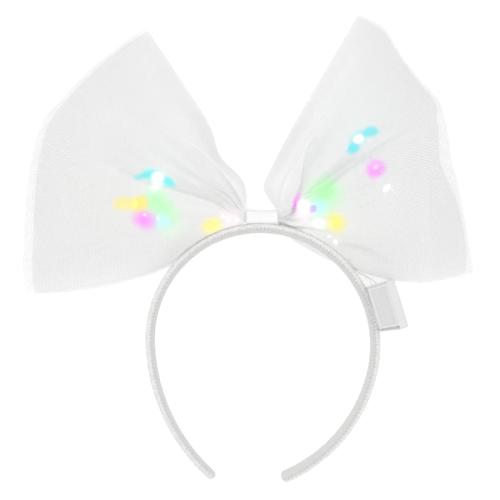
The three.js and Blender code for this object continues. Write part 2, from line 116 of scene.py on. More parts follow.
# The net: a loop on each side with a smaller loop nested in it.
NET_ACROSS = 190
NET_ALONG = 210
NET_KNOT_RISE = 5.0
NET_KNOT_GAP = 0.5
NET_TAIL = 6.0
NET_KNOT_SPREAD = 2.8
NET_STEP_AT_KNOT, NET_STEP_OPEN, NET_STEP_REACHED = 1.6, 3.8, 14.0
NET_BACK_STEP = 1.8
NET_SWELL_SHARE = 0.45
NET_FLOOR_REACH = 22.0
NET_FLOOR_GAP = 0.15
NET_FOLD_RADIUS = 3.2
NET_NOSE_OUTER, NET_NOSE_INNER = 0.5, 0.36
NET_GATHER_REACH, NET_GATHER_RISE = 26.0, 0.45
NET_GATHER_POWER = 1.5
# Points along a loop's profile: the open front, its rounded end, the outer fold and the back.
PROFILE_FRONT, PROFILE_NOSE, PROFILE_FOLD, PROFILE_BACK = 60, 40, 8, 70
# How a side edge leaves the knot and comes back to its corner: plainly, or where it swings downwards on
# the front (True) and on the back.
NET_PLAIN_EDGE = (1.0, 1.3)
NET_HEMS = {
    ("left", True): (0.9, 1.6),
    ("left", False): (0.9, 2.2),
    ("right", True): (1.4, 2.2),
    ("right", False): (0.55, 2.6),
}
# The weave, turned otherwise in the inner loop (True), and its holes, which close where the net is
# gathered.
NET_PITCH = 1.45
NET_WEAVE_TURN = {False: 22.5, True: 7.5}
NET_THREAD_EDGE = (-0.2, -0.78)
NET_THREAD_COVER = (0.04, 0.96)
NET_CLOSING_FROM, NET_HOLE_CLOSING = (0.1, 0.9), 2.6
# Shades of the net: plain, painted darker in the inner loop (True) as the shade it lies in; painted lighter
# where gathered near the knot; a painted shade in the streaks of its gathers; and the painted shade of
# hollows, the edge roll and the band's side.
NET_WHITE_INNER_SHADED = {False: 0.93, True: 0.86}
NET_SHADE_VARIES = 0.01
NET_GATHERED_PAINTED_LIGHT = 0.93
NET_STREAK_PAINTED_SHADE, NET_STREAK_COUNT = 0.895, 110.0
NET_STREAK_EDGE, NET_STREAK_FROM = (0.4, 0.65), (0.12, 0.5)
NET_PAINTED_SHADE = 0.84
# Light in the net: a painted glow in its gathers, standing in for the light passed among their layers, what
# the lights add, and the share that passes through the threads.
NET_GATHER_PAINTED_GLOW, NET_GATHER_GLOW_FROM = 0.075, (0.96, 0.78)
NET_LIT = 0.12
NET_THROUGH = (0.44, 0.15)
# Where the band crosses the net, the net is held under it and stands up steeply beside it.
NET_TUCK_UNDER = 0.6
NET_TUCK_STEEP = 25.0
NET_TUCK_OVER = 1.0
NET_TUCK_SLOPE = 0.9
# Beside the band the net gets a painted shade, where the band shades it: how strong, how wide, and how far
# from the knot it starts and becomes full.
NET_TUCK_PAINTED_SHADE = {"left": 1.0, "right": 0.35}
NET_TUCK_SHADE_WIDE, NET_TUCK_SHADE_FROM, NET_TUCK_SHADE_FULL = 16.0, 5.0, 35.0
# A fold that runs down near the right rim: the cloth outside it stands higher.
RIM_FOLD_X, RIM_FOLD_WIDE, RIM_FOLD_RISE = 96.0, 7.0, 2.6
NET_FLAT_OUTER = (0.178, 0.272)
NET_FLAT_INNER = (0.170, 0.250)

# One row per fold from the top side edge to the bottom one: bearing above the horizontal, reach from the
# knot to the outer fold, how far the front and back swing sideways and where, the front's height, what
# the fold adds near the knot, and the inner loop's inset and turn.
FOLD_COLUMNS = ("bearing", "reach", "front_bow", "back_bow", "bow_at", "rise", "gather", "inset", "turn")
LEFT_FOLDS = (
    (62.4, 121.9, 8, 6, 0.16, 22, -1.0, 2.2, 0),
    (56.5, 121.8, 5, 3, 0.15, 31, 2.2, 2.2, 0),
    (48.5, 121.8, 2, 1, 0.2, 35, -1.5, 2.2, 0),
    (41.0, 123.0, 0, 0, 0.4, 38, 2.4, 2.4, 0),
    (33.0, 124.8, 0, 0, 0.4, 35, -2.6, 2.8, 0),
    (26.0, 128.0, 0, 0, 0.4, 39, 2.8, 3.6, 0),
    (16.0, 127.0, 0, 0, 0.4, 38, 0.4, 4.6, 0),
    (5.0, 125.8, 0, 0, 0.5, 36, 1.2, 5.0, 0),
    (-5.0, 127.0, -1, -3, 0.6, 32, -1.2, 5.5, 0),
    (-12.0, 130.0, -5, -7, 0.5, 25, 1.2, 5.5, 0),
    (-19.0, 133.2, -9, -11, 0.5, 18, 0.0, 5.0, -1),
)
RIGHT_FOLDS = (
    (68.5, 124.4, 14, 12, 0.1, 23, -0.5, 1.5, 0),
    (64.5, 124.2, 9.5, 7, 0.13, 31, 2.6, 1.5, 0),
    (60.0, 123.0, 4, 3, 0.2, 31, -2.4, 1.5, 0),
    (52.0, 115.4, 1, 1, 0.3, 37, 1.8, 1.5, 0),
    (43.5, 112.8, 0, 0, 0.4, 38, 0.6, 1.8, 0),
    (36.0, 113.2, 0, 0, 0.4, 34, -2.8, 2.5, 0),
    (30.5, 110.4, 0, 0, 0.4, 39, 2.8, 5.0, 0),
    (18.4, 104.5, 0, 0, 0.4, 37, 0.8, 7.0, 0),
    (5.6, 104.8, -2, -2, 0.5, 33, -1.0, 3.0, 0),
    (-3.0, 107.5, -6, -7, 0.5, 28, 1.8, 2.2, 0),
    (-9.5, 111.0, -10.5, -12, 0.52, 22, -1.0, 2.6, 0),
    (-15.9, 116.2, -15.2, -16, 0.53, 17, 0.0, 4.5, -0.5),
)

# The upper edge sags between its roll beside the knot and its straight run: how far, where along it, how
# long the sag is, and the share of the folds it reaches into.
EDGE_SAG = {"left": 4.8, "right": 0.0}
EDGE_SAG_AT, EDGE_SAG_WIDE, EDGE_SAG_FOLDS = 0.29, 0.11, 0.25

# Creases over the front. Each follows a route of distances from the knot (mm) with the bearing there
# (degrees). Cloth on the raised side (1 is above the line, -1 below it) is lifted and hangs over the sunk
# side by lean. The lift and the sinking reach as far as wide says. A crease grows from its start to its
# peak, and its share left_over is still there at its end.
CREASE_COLUMNS = ("route", "raised", "lift", "sink", "wide", "lean", "start", "peak", "end", "left_over")
LEFT_CREASES = (
    (((5, 17), (10, 20), (17, 23.3), (26.6, 22.8), (40, 21), (58, 19), (75, 20.7), (93, 22.4), (119, 19.6)),
     -1, 3.0, 6.5, (9, 11), 0.7, 1, 18, 112, 0.1),
    (((4, 47), (13.5, 49.5), (18.9, 45.6), (27.5, 38.9), (42, 35), (60, 33), (72, 32)),
     -1, 2.6, 6.0, (8, 11), 0.5, 1, 13, 66, 0.0),
    (((6, 72), (16, 67), (28, 61), (42, 55.7), (60, 48), (80, 44.5), (99, 39)),
     1, 1.6, 2.4, (9, 7), 0.3, 2, 18, 92, 0.0),
    (((40, 9), (77, 5.8), (90, 4.3), (117, 5)), -1, 0.5, 0.8, (8, 6), 0.0, 50, 85, 120, 0.3),
    (((6, 16), (20, 13), (45, 10), (60, 9)), -1, 0.9, 1.2, (4, 3), 0.5, 2, 16, 58, 0.0),
    (((6, 0), (20, -3), (50, -4), (60, -4)), -1, 0.9, 1.2, (4, 3), 0.5, 2, 18, 58, 0.0),
    (((30, -11), (80, -14), (128, -16.4)), -1, 0.8, 0.9, (4, 3), 0.2, 26, 90, 130, 0.6),
    (((40, -8), (80, -11), (128, -13.6)), -1, 0.5, 0.7, (4, 3), 0.0, 36, 95, 130, 0.6),
)
RIGHT_CREASES = (
    (((2, -10), (5.7, 13), (8.5, 27), (13, 46), (23, 58), (34, 65), (44, 66), (51, 64), (63, 61), (74, 60)),
     1, 3.2, 6.0, (8, 7), 0.8, 0.5, 9, 72, 0.0),
    (((6, 92), (20.6, 81.6), (34, 73), (48, 70)), 1, 0.7, 1.2, (4, 4), 0.2, 4, 20, 52, 0.0),
    (((8, 22), (23.8, 26.7), (39, 31.6), (53.5, 33.5), (68, 34.6), (82, 34.1), (93, 31.3)),
     -1, 2.4, 2.4, (10, 6), 0.8, 4, 38, 98, 0.0),
    (((4, -12), (9, -6), (17.8, -3), (34, 0), (44, 1)), 1, 1.6, 3.2, (4, 4), 0.4, 0.5, 7, 42, 0.0),
    (((4, -50), (6.4, -43), (14.5, -23.5), (25.8, -17), (40, -13)),
     1, 1.8, 4.0, (4, 4), 0.5, 0.5, 7, 40, 0.0),
    (((30, -27), (36.6, -25), (46.4, -20.2), (55.4, -20), (65.2, -21.6), (74.6, -22), (90, -22)),
     1, 1.2, 2.8, (5, 9), 0.2, 28, 46, 86, 0.0),
    (((40, -7), (70, -9), (110, -8)), -1, 0.7, 0.9, (5, 4), 0.2, 30, 70, 112, 0.4),
)
# For every crease: its depth and edge, how narrow it gets towards the knot and from where, how wide the
# leaning part is, and for the painted shade in its hollow: how deep a hollow is fully shaded, how wide the
# shade is and how far from the knot it grows in.
CREASE_DEPTH = 0.75
CREASE_EDGE = 3.6
CREASE_TIGHT, CREASE_TIGHT_REACH = 0.35, 40.0
CREASE_LEAN_WIDE = 0.5
CREASE_SHADE_FULL_DEPTH = 7.0
CREASE_SHADE_WIDE = 0.6
CREASE_SHADE_FROM = 22.0
# The roll of the upper edge beside the knot is several layers deep and gets a painted shade like a
# crease's hollow: how strong, the share of the folds in it, and the distances from the knot between which
# that fades.
ROLL_PAINTED_SHADE, ROLL_FOLDS, ROLL_FADE = 0.9, 0.2, (15.0, 80.0)
# Fine pleats near the knot and slow swells over the open cloth. Each noise has two scales and a seed.
PLEATS = 17
PLEAT_SLOPE = 0.04
PLEAT_FADE = (8.0, 60.0)
PLEAT_WANDER, PLEAT_NOISE = 0.9, (5.0, 0.02, 3.7)
SWELL_RISE, SWELL_NOISE = 1.3, (0.028, 0.028, 11.3)

# The colour that each light gives the net round it. The clear lights are off.
GLOW_COLOURS = {
    "cyan": (0.20, 0.84, 0.88),
    "pale_cyan": (0.58, 0.98, 0.96),
    "yellow": (0.95, 0.88, 0.27),
    "orange": (0.98, 0.85, 0.27),
    "magenta": (0.98, 0.30, 0.98),
    "green": (0.50, 0.98, 0.50),
    "pale_green": (0.74, 0.94, 0.74),
    "rose": (1.0, 0.83, 0.90),
    "violet": (0.70, 0.45, 0.96),
    "white": (1.0, 1.0, 0.97),
}
# Where the glows show on the net: colour, middle, half length and half width (mm), turn (degrees), how
# soft the rim is (0 is hard, 1 is soft) and how strong the colour is.
GLOWS = {
    "left": (
        ("cyan", (-55.0, 42.4), 7.4, 4.4, -12, 0.5, 0.9),
        ("cyan", (-46.8, 38.8), 6.2, 3.2, -24, 0.5, 0.9),
        ("cyan", (-61.6, 41.9), 5.4, 2.2, 8, 0.6, 0.8),
        ("white", (-52.3, 41.0), 4.5, 4.1, 0, 0.25, 1.0),
        ("white", (-53.8, 35.7), 4.0, 1.7, 5, 0.7, 0.8),
        ("pale_green", (-45.5, 12.6), 8.5, 6.4, 0, 1.0, 0.5),
        ("green", (-46.6, 21.8), 9.0, 6.0, -26, 1.0, 0.6),
        ("green", (-53.4, 28.0), 9.4, 8.0, -20, 1.0, 0.85),
        ("yellow", (-71.4, 26.4), 8.2, 4.8, 0, 0.5, 0.75),
        ("orange", (-62.8, 26.0), 6.0, 5.4, 0, 0.45, 0.95),
        ("pale_cyan", (-49.6, 16.8), 6.6, 5.4, 0, 0.9, 0.85),
        ("magenta", (-60.0, 17.2), 7.4, 5.8, -20, 1.0, 0.95),
        ("white", (-59.9, 19.8), 1.0, 0.9, 0, 0.5, 0.9),
        ("white", (-52.1, 18.0), 1.3, 1.1, 0, 0.5, 0.9),
        ("yellow", (-21.6, 14.0), 6.8, 5.0, 32, 0.55, 0.85),
        ("rose", (-11.6, 18.6), 7.6, 4.6, -14, 1.0, 0.6),
        ("white", (-15.1, 19.4), 1.5, 1.1, -20, 0.5, 0.9),
        ("white", (-12.2, 16.9), 1.1, 1.0, 0, 0.5, 0.9),
        ("white", (-7.8, 17.7), 1.6, 1.1, 20, 0.5, 0.9),
    ),
    "right": (
        ("green", (42.4, 31.0), 12.4, 11.2, 40, 1.0, 0.75),
        ("green", (42.6, 31.6), 8.6, 4.2, 45, 0.9, 0.8),
        ("pale_cyan", (39.3, 24.6), 6.2, 5.6, 0, 0.9, 0.85),
        ("magenta", (26.4, 27.4), 6.2, 2.2, 72, 0.9, 0.7),
        ("rose", (30.8, 20.4), 5.0, 4.0, 0, 0.8, 0.9),
        ("violet", (35.9, 23.4), 2.2, 2.1, 0, 0.5, 0.9),
        ("pale_green", (39.6, 15.6), 6.8, 5.2, 0, 0.8, 0.6),
        ("white", (38.8, 15.0), 4.2, 3.6, 0, 0.6, 0.9),
        ("yellow", (49.0, 15.6), 5.9, 6.6, 0, 0.8, 0.95),
        ("cyan", (58.5, 58.2), 5.0, 3.8, 50, 0.5, 0.95),
        ("cyan", (68.6, 66.8), 6.2, 3.4, 8, 0.5, 0.9),
        ("cyan", (61.6, 64.0), 6.0, 4.8, 48, 0.7, 0.7),
        ("white", (61.6, 63.2), 3.9, 3.5, 38, 0.4, 0.95),
        ("white", (30.6, 25.4), 4.9, 4.1, -50, 0.5, 1.0),
        ("white", (78.4, 35.6), 2.4, 1.1, -20, 0.5, 0.9),
        ("white", (48.7, 4.3), 1.5, 1.9, 30, 0.4, 0.95),
        ("white", (45.0, 7.5), 1.0, 1.2, 30, 0.4, 0.9),
        ("magenta", (71.0, 46.0), 6.6, 5.8, 30, 0.7, 0.9),
        ("rose", (71.6, 47.2), 2.2, 1.6, 30, 0.6, 0.8),
    ),
}
LIGHT_COLOURS = {
    "left": ("cyan", "clear", "yellow", "magenta", "green", "yellow", "rose"),
    "right": ("rose", "violet", "green", "cyan", "magenta", "clear", "yellow", "white", "clear"),
}
GLOW_DEPTH = 60.0
GLOW_RAGGED, GLOW_RAGGED_SCALE = (0.004, 0.004, 0.0), 110.0
# Where a glow starts and is full, in shares of its half size, from a hard rim to a soft one.
GLOW_STARTS, GLOW_FULL = (1.05, 1.35), (0.9, 0.15)
# The drops: how pale and how bright each colour is there, more so (True) for those that look white in the
# middle.
WHITE_HOT = ("cyan", "rose", "white")
LIGHT_PALE = {True: 0.9, False: 0.2}
LIGHT_BRIGHT = {True: 3.0, False: 0.9}
CLEAR_PAINTED_GLINT = 0.6
LIGHT_DIAMETER = 3.5
LIGHT_LONG = 5.8
LIGHT_FULLER = 0.24
LIGHT_SEGMENTS, LIGHT_RINGS = 24, 16
WIRE_STRAND = 0.18
WIRE_TWIST_PITCH = 3.0
WIRE_STEP = 0.6
STRING_TAIL = (
    (55.4, -4.2, 14.5),
    (58.3, -8.7, 15.5),
    (61.2, -12.6, 15.8),
    (66.2, -15.5, 16.0),
    (68.2, -16.6, 16.0),
)
LEAD_ROUTE = (
    (54.6, -1.6, 12.0),
    (58.8, -8.3, 15.2),
    (61.6, -12.2, 15.7),
    (66.5, -15.1, 16.0),
    (68.7, -16.3, 16.0),
)
# Where each wire enters the box: across it, and how deep its last two points lie below the box's top.
STRING_MOUTH = (1.9, (-0.9, 1.7))
LEAD_MOUTH = (4.5, (-0.6, 1.7))
MOUTH_HEIGHT = 16.0
WIRE_SHADES = (0.5, 0.64)

# The battery box leans with the band. The case is a body between end flanges, and the lid is beside it.
BOX_X, BOX_Y, BOX_LEAN = 78.9, -32.2, math.radians(17.2)
BOX_LONG, BOX_DEEP = 28.9, 24.0
CASE_WIDE, LID_WIDE, LID_GAP = 9.8, 4.7, 0.3
CASE_FOOT = 1.2
CASE_FLANGE, CASE_GROOVE_TOP, CASE_GROOVE_FOOT = 0.9, 0.4, 1.3
CASE_GROOVE_TOP_DEEP, CASE_GROOVE_FOOT_DEEP = 0.5, 1.6
CASE_FOOT_SLANT = 2.0
CASE_SADDLE, CASE_SADDLE_LOW, CASE_SADDLE_HIGH = 0.8, 14.4, 16.4
CASE_EDGE, LID_EDGE = 0.2, 0.9
# Sunk panels: the border round one, the width of its sloping edge and its depth.
CASE_PANEL = (1.1, 0.5, 0.25)
LID_PANEL = (2.0, 0.4, 0.4)
LID_SEAT, LID_SHORTER = 0.05, 0.2
# Plastics: shade, the painted shade of a sunk panel, and roughness.
CASE_PLASTIC = (0.70, 0.635, 0.32)
LID_PLASTIC = (0.72, 0.70, 0.40)

KNOT_LOW, KNOT_HIGH = (Vector(corner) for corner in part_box("knot_ribbon"))
SHIFT = (KNOT_LOW + KNOT_HIGH) / 2 - Vector((KNOT_X, KNOT_Y, KNOT_Z)) * MM


def placed(x, y, z):
    return Vector((x, y, z)) * MM + SHIFT


def clamp(value, low=0.0, high=1.0):
    return min(max(value, low), high)


def lerp(start, end, share):
    return start + (end - start) * share


def smooth(share):
    held = clamp(share)
    return held * held * (3 - 2 * held)


def hump(share, peak, quick, late):
    """Rises from 0 to 1 at the peak and falls back. A low quick steepens its start, a high late its end."""
    held = clamp(share)
    if held < peak:
        return math.sin(math.pi / 2 * held / peak) ** quick
    return 1 - ((held - peak) / (1 - peak)) ** late


def bell(offset, width):
    return math.exp(-((offset / width) ** 2))


def bent_line(start, end, slope_in, slope_out, t):
    """A smooth curve between two values or points with the given slopes at its ends, read at t (0 to 1)."""
    bend = 3 * (end - start) - 2 * slope_in - slope_out
    curl = 2 * (start - end) + slope_in + slope_out
    return start + slope_in * t + bend * t * t + curl * t ** 3


def between_rows(values, position):
    """A smooth curve through evenly spaced values, read at a fractional row."""
    last = len(values) - 1
    row = min(int(position), last - 1)
    before, start, end, after = (values[clamp(row + i, 0, last)] for i in (-1, 0, 1, 2))
    return bent_line(start, end, (end - before) / 2, (after - start) / 2, position - row)


# Making pieces

def add_piece(name, data, material, node):
    """Adds a piece of the headband that rides on it and stands for the given node."""
    data.materials.append(material)
    piece = bpy.data.objects.new(name, data)
    bpy.context.scene.collection.objects.link(piece)
    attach(piece, "root")
    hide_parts(node)
    return piece


def mesh_piece(name, bm, material, node, shade_smooth=True):
    """Turns a bmesh into a piece."""
    mesh = bpy.data.meshes.new(name)
    for face in bm.faces:
        face.smooth = shade_smooth
    bm.to_mesh(mesh)
    bm.free()
    return add_piece(name, mesh, material, node)


def close_seams(bm):
    bmesh.ops.remove_doubles(bm, verts=bm.verts, dist=1e-6)
    bmesh.ops.recalc_face_normals(bm, faces=bm.faces)


def cloth_grid(across, along, uv_size, weave_turn=0.0):
    """A grid from -0.5 to 0.5 across and along, to be shaped by shares, with a UV map in metres of cloth."""
    bm = bmesh.new()
    layer = bm.loops.layers.uv.new("cloth")
    bmesh.ops.create_grid(bm, x_segments=across, y_segments=along, size=0.5, calc_uvs=True)
    weave = Matrix.Rotation(math.radians(weave_turn), 2)
    for face in bm.faces:
        for loop in face.loops:
            share = loop.vert.co
            loop[layer].uv = weave @ Vector(((share.x + 0.5) * uv_size[0], (share.y + 0.5) * uv_size[1]))
    return bm


# Materials

def feed(tree, socket, value):
    if isinstance(value, bpy.types.NodeSocket):
        tree.links.new(value, socket)
    else:
        socket.default_value = value


def add_node(tree, kind, settings=None, inputs=None):
    made = tree.nodes.new(kind)
    for key, value in (settings or {}).items():
        setattr(made, key, value)
    for key, value in (inputs or {}).items():
        feed(tree, made.inputs[key], value)
    return made


def calc(tree, operation, first, second=None):
    made = add_node(tree, "ShaderNodeMath", {"operation": operation}, {0: first})
    if second is not None:
        feed(tree, made.inputs[1], second)
    return made.outputs[0]


def vector_calc(tree, operation, first, second):
    made = add_node(tree, "ShaderNodeVectorMath", {"operation": operation}, {0: first, 1: second})
    if operation in ("DOT_PRODUCT", "LENGTH"):
        return made.outputs["Value"]
    return made.outputs["Vector"]


def ramp(tree, value, low, high, to_low=0.0, to_high=1.0):
    made = add_node(
        tree,
        "ShaderNodeMapRange",
        {"interpolation_type": "SMOOTHSTEP"},
        {"Value": value, "From Min": low, "From Max": high, "To Min": to_low, "To Max": to_high},
    )
    return made.outputs["Result"]


def mix_colours(tree, share, first, second):
    made = add_node(tree, "ShaderNodeMix", {"data_type": "RGBA"}, {"Factor": share})
    feed(tree, made.inputs[6], first)
    feed(tree, made.inputs[7], second)
    return made.outputs[2]


def noise_value(tree, coordinates, scale, detail):
    inputs = {"Vector": coordinates, "Scale": scale, "Detail": detail}
    return add_node(tree, "ShaderNodeTexNoise", None, inputs).outputs["Fac"]


def bump(tree, height, distance, strength):
    inputs = {"Height": height, "Distance": distance, "Strength": strength}
    return add_node(tree, "ShaderNodeBump", None, inputs).outputs["Normal"]


def start_material(name, roughness):
    material = bpy.data.materials.new(name)
    material.use_nodes = True
    tree = material.node_tree
    shader = tree.nodes["Principled BSDF"]
    shader.inputs["Roughness"].default_value = roughness
    places = add_node(tree, "ShaderNodeTexCoord").outputs["Object"]
    return material, tree, shader, places


def grey(value):
    return (value, value, value, 1.0)


def attribute(tree, name):
    return add_node(tree, "ShaderNodeAttribute", {"attribute_name": name}).outputs["Fac"]


def cloth_uv(tree):
    return add_node(tree, "ShaderNodeUVMap", {"uv_map": "cloth"}).outputs["UV"]


def band_cover():
    """Woven tape: slanted ribs from the mesh, a thread grain, a darker inner side, and stitches with a
    painted shade in their pits.
    """
    material, tree, shader, places = start_material("band_cover", 0.85)
    around = add_node(tree, "ShaderNodeSeparateXYZ", None, {"Vector": cloth_uv(tree)})
    grain = noise_value(tree, places, 1500.0, 2.0)
    girth_share = calc(tree, "DIVIDE", around.outputs["X"], BAND_GIRTH * MM)
    from_inside = calc(tree, "ABSOLUTE", calc(tree, "SUBTRACT", girth_share, 0.5))
    # The cover is darker on its inner side.
    inner_dark = ramp(tree, from_inside, *BAND_INNER_DARK_EDGE)
    pits = None
    for row, start in BAND_STITCH_ROWS:
        from_row = calc(tree, "ABSOLUTE", calc(tree, "SUBTRACT", from_inside, row))
        turns = calc(tree, "ADD", calc(tree, "DIVIDE", around.outputs["Y"], BAND_STITCH_PITCH * MM), start)
        slanted = calc(tree, "ADD", turns, calc(tree, "MULTIPLY", girth_share, BAND_STITCH_SLANT))
        beat = calc(tree, "SINE", calc(tree, "MULTIPLY", slanted, 2 * math.pi))
        in_row = ramp(tree, from_row, *BAND_STITCH_WIDE)
        dashes = calc(tree, "MULTIPLY", in_row, ramp(tree, beat, *BAND_STITCH_BEAT))
        pits = dashes if pits is None else calc(tree, "MAXIMUM", pits, dashes)
    mottle = noise_value(tree, places, 750.0, 1.0)
    colour = mix_colours(tree, ramp(tree, mottle, 0.3, 0.7), *BAND_SHADES)
    colour = mix_colours(tree, inner_dark, colour, BAND_INNER_DARK_TONE)
    # Painted shade in the stitches' pits, stronger in some places than others.
    pit_shade_varies = ramp(tree, noise_value(tree, places, 420.0, 1.0), 0.35, 0.65, 0.25, 0.6)
    colour = mix_colours(tree, calc(tree, "MULTIPLY", pits, pit_shade_varies), colour, BAND_PIT_PAINTED_SHADE)
    feed(tree, shader.inputs["Base Color"], colour)
    height = calc(tree, "SUBTRACT", grain, calc(tree, "MULTIPLY", pits, 0.8))
    feed(tree, shader.inputs["Normal"], bump(tree, height, 0.00012, 0.8))
    shader.inputs["Sheen Weight"].default_value = 0.1
    return material


def satin():
    """Smooth ribbon with fine threads across it and a soft shine."""
    material, tree, shader, places = start_material("satin", 0.32)
    threads = add_node(
        tree,
        "ShaderNodeTexWave",
        {"wave_type": "BANDS", "bands_direction": "X"},
        {"Vector": cloth_uv(tree), "Scale": 1500.0, "Distortion": 0.6},
    ).outputs["Fac"]
    slow = noise_value(tree, places, 180.0, 2.0)
    dull, bright = (grey(shade) for shade in SATIN_SHADES)
    feed(tree, shader.inputs["Base Color"], mix_colours(tree, slow, dull, bright))
    feed(tree, shader.inputs["Roughness"], ramp(tree, threads, 0.0, 1.0, 0.28, 0.4))
    feed(tree, shader.inputs["Normal"], bump(tree, threads, 0.00004, 0.5))
    shader.inputs["Sheen Weight"].default_value = 0.2
    return material


def net_threads(tree, gathered):
    """Cover of a six-sided net, from three waves at 60 degrees to each other. Gathers close its holes."""
    wave_number = 4 * math.pi / (math.sqrt(3) * NET_PITCH * MM)
    uv = cloth_uv(tree)
    total = None
    for turn in (0, 60, 120):
        angle = math.radians(turn)
        direction = (wave_number * math.cos(angle), wave_number * math.sin(angle), 0)
        wave = calc(tree, "COSINE", vector_calc(tree, "DOT_PRODUCT", uv, direction))
        total = wave if total is None else calc(tree, "ADD", total, wave)
    closing = ramp(tree, gathered, *NET_CLOSING_FROM, 0.0, NET_HOLE_CLOSING)
    return ramp(tree, calc(tree, "SUBTRACT", total, closing), *NET_THREAD_EDGE, *NET_THREAD_COVER)


def net_glow(tree, places, side, colour):
    """The net's colour with the glow of each light on it, and how strongly it is lit."""
    ragged = add_node(
        tree,
        "ShaderNodeTexNoise",
        None,
        {"Vector": places, "Scale": GLOW_RAGGED_SCALE, "Detail": 2.0},
    )
    push = vector_calc(tree, "SUBTRACT", ragged.outputs["Color"], (0.5, 0.5, 0.5))
    wandering = vector_calc(tree, "ADD", places, vector_calc(tree, "MULTIPLY", push, GLOW_RAGGED))
    lit = None
    for name, (x, y), long, wide, turn, soft, strength in GLOWS[side]:
        middle = placed(x, y, KNOT_Z)
        ellipse = add_node(tree, "ShaderNodeMapping", {"vector_type": "TEXTURE"}, {
            "Vector": wandering,
            "Location": middle,
            "Rotation": (0.0, 0.0, math.radians(turn)),
            "Scale": (long * MM, wide * MM, GLOW_DEPTH * MM),
        })
        gap = vector_calc(tree, "LENGTH", ellipse.outputs["Vector"], (0, 0, 0))
        share = ramp(tree, gap, lerp(*GLOW_STARTS, soft), lerp(*GLOW_FULL, soft), 0.0, strength)
        colour = mix_colours(tree, share, colour, (*GLOW_COLOURS[name], 1))
        lit = share if lit is None else calc(tree, "MAXIMUM", lit, share)
    return colour, lit


def net(side, inner):
    """See-through net that lets light through its threads, tinted and lit round each light that is on."""
    material, tree, shader, places = start_material(f"net_{layer_name(inner)}_{side}", 0.7)
    gathered = attribute(tree, "gathered")
    clear = calc(tree, "SUBTRACT", 1.0, net_threads(tree, gathered))
    streaks = add_node(
        tree,
        "ShaderNodeTexNoise",
        {"noise_dimensions": "1D"},
        {"W": attribute(tree, "across"), "Scale": NET_STREAK_COUNT},
    )
    # Painted shade in the streaks of the gathers near the knot.
    streaked = ramp(tree, streaks.outputs["Fac"], *NET_STREAK_EDGE)
    dull = calc(tree, "MULTIPLY", streaked, ramp(tree, gathered, *NET_STREAK_FROM))
    slow = noise_value(tree, places, 45.0, 3.0)
    # The inner loop is painted darker, as the shade it lies in under the outer one.
    white = NET_WHITE_INNER_SHADED[inner]
    plain = mix_colours(tree, slow, grey(white - NET_SHADE_VARIES), grey(white + NET_SHADE_VARIES))
    # Gathers near the knot are painted lighter, against the shade there.
    plain = mix_colours(tree, gathered, plain, grey(NET_GATHERED_PAINTED_LIGHT))
    plain = mix_colours(tree, dull, plain, grey(NET_STREAK_PAINTED_SHADE))
    # Painted shade in crease hollows, on the edge roll and beside the band.
    plain = mix_colours(tree, attribute(tree, "hollow"), plain, grey(NET_PAINTED_SHADE))
    colour, lit = net_glow(tree, places, side, plain)
    feed(tree, shader.inputs["Base Color"], colour)
    feed(tree, shader.inputs["Emission Color"], colour)
    # A painted glow where the net is gathered.
    gather_glow_ramp = ramp(tree, gathered, *NET_GATHER_GLOW_FROM, 0.0, NET_GATHER_PAINTED_GLOW)
    gather_glow = calc(tree, "MULTIPLY", gathered, gather_glow_ramp)
    glow = calc(tree, "ADD", calc(tree, "MULTIPLY", lit, NET_LIT), gather_glow)
    feed(tree, shader.inputs["Emission Strength"], glow)
    through = add_node(tree, "ShaderNodeBsdfTranslucent", None, {"Color": colour})
    thread = add_node(tree, "ShaderNodeMixShader", None, {
        0: ramp(tree, gathered, 0.0, 1.0, *NET_THROUGH),
        1: shader.outputs["BSDF"],
        2: through.outputs["BSDF"],
    })
    hole = add_node(tree, "ShaderNodeBsdfTransparent")
    cloth = add_node(tree, "ShaderNodeMixShader", None, {
        0: clear,
        1: thread.outputs["Shader"],
        2: hole.outputs["BSDF"],
    })
    feed(tree, tree.nodes["Material Output"].inputs["Surface"], cloth.outputs["Shader"])
    return material


def light_resin(name):
    """A drop of clear resin over a chip: lit ones glow, unlit ones are glassy with a faint painted white glow
    for their glints.
    """
    material, tree, shader, places = start_material(f"light_{name}", 0.12)
    cloud = noise_value(tree, places, 900.0, 2.0)
    feed(tree, shader.inputs["Roughness"], ramp(tree, cloud, 0.3, 0.7, 0.06, 0.2))
    if name in GLOW_COLOURS:
        glow = GLOW_COLOURS[name]
        pale = tuple(lerp(part, 1.0, LIGHT_PALE[name in WHITE_HOT]) for part in glow)
        feed(tree, shader.inputs["Base Color"], mix_colours(tree, cloud, (*glow, 1), (*pale, 1)))
        shader.inputs["Emission Color"].default_value = (*pale, 1)
        shader.inputs["Emission Strength"].default_value = LIGHT_BRIGHT[name in WHITE_HOT]
    else:
        feed(tree, shader.inputs["Base Color"], mix_colours(tree, cloud, grey(0.9), grey(1.0)))
        shader.inputs["Transmission Weight"].default_value = 0.3
        shader.inputs["IOR"].default_value = 1.5
        # Unlit drops glow faintly white: painted glints.
        shader.inputs["Emission Color"].default_value = grey(1.0)
        shader.inputs["Emission Strength"].default_value = CLEAR_PAINTED_GLINT
    return material


def wire_enamel():
    """Grey enamelled copper with a dull shine."""
    material, tree, shader, places = start_material("wire_enamel", 0.35)
    scuffs = noise_value(tree, places, 700.0, 2.0)
    dark, pale = (grey(shade) for shade in WIRE_SHADES)
    feed(tree, shader.inputs["Base Color"], mix_colours(tree, scuffs, dark, pale))
    feed(tree, shader.inputs["Roughness"], ramp(tree, scuffs, 0.3, 0.7, 0.25, 0.45))
    shader.inputs["Metallic"].default_value = 0.6
    return material


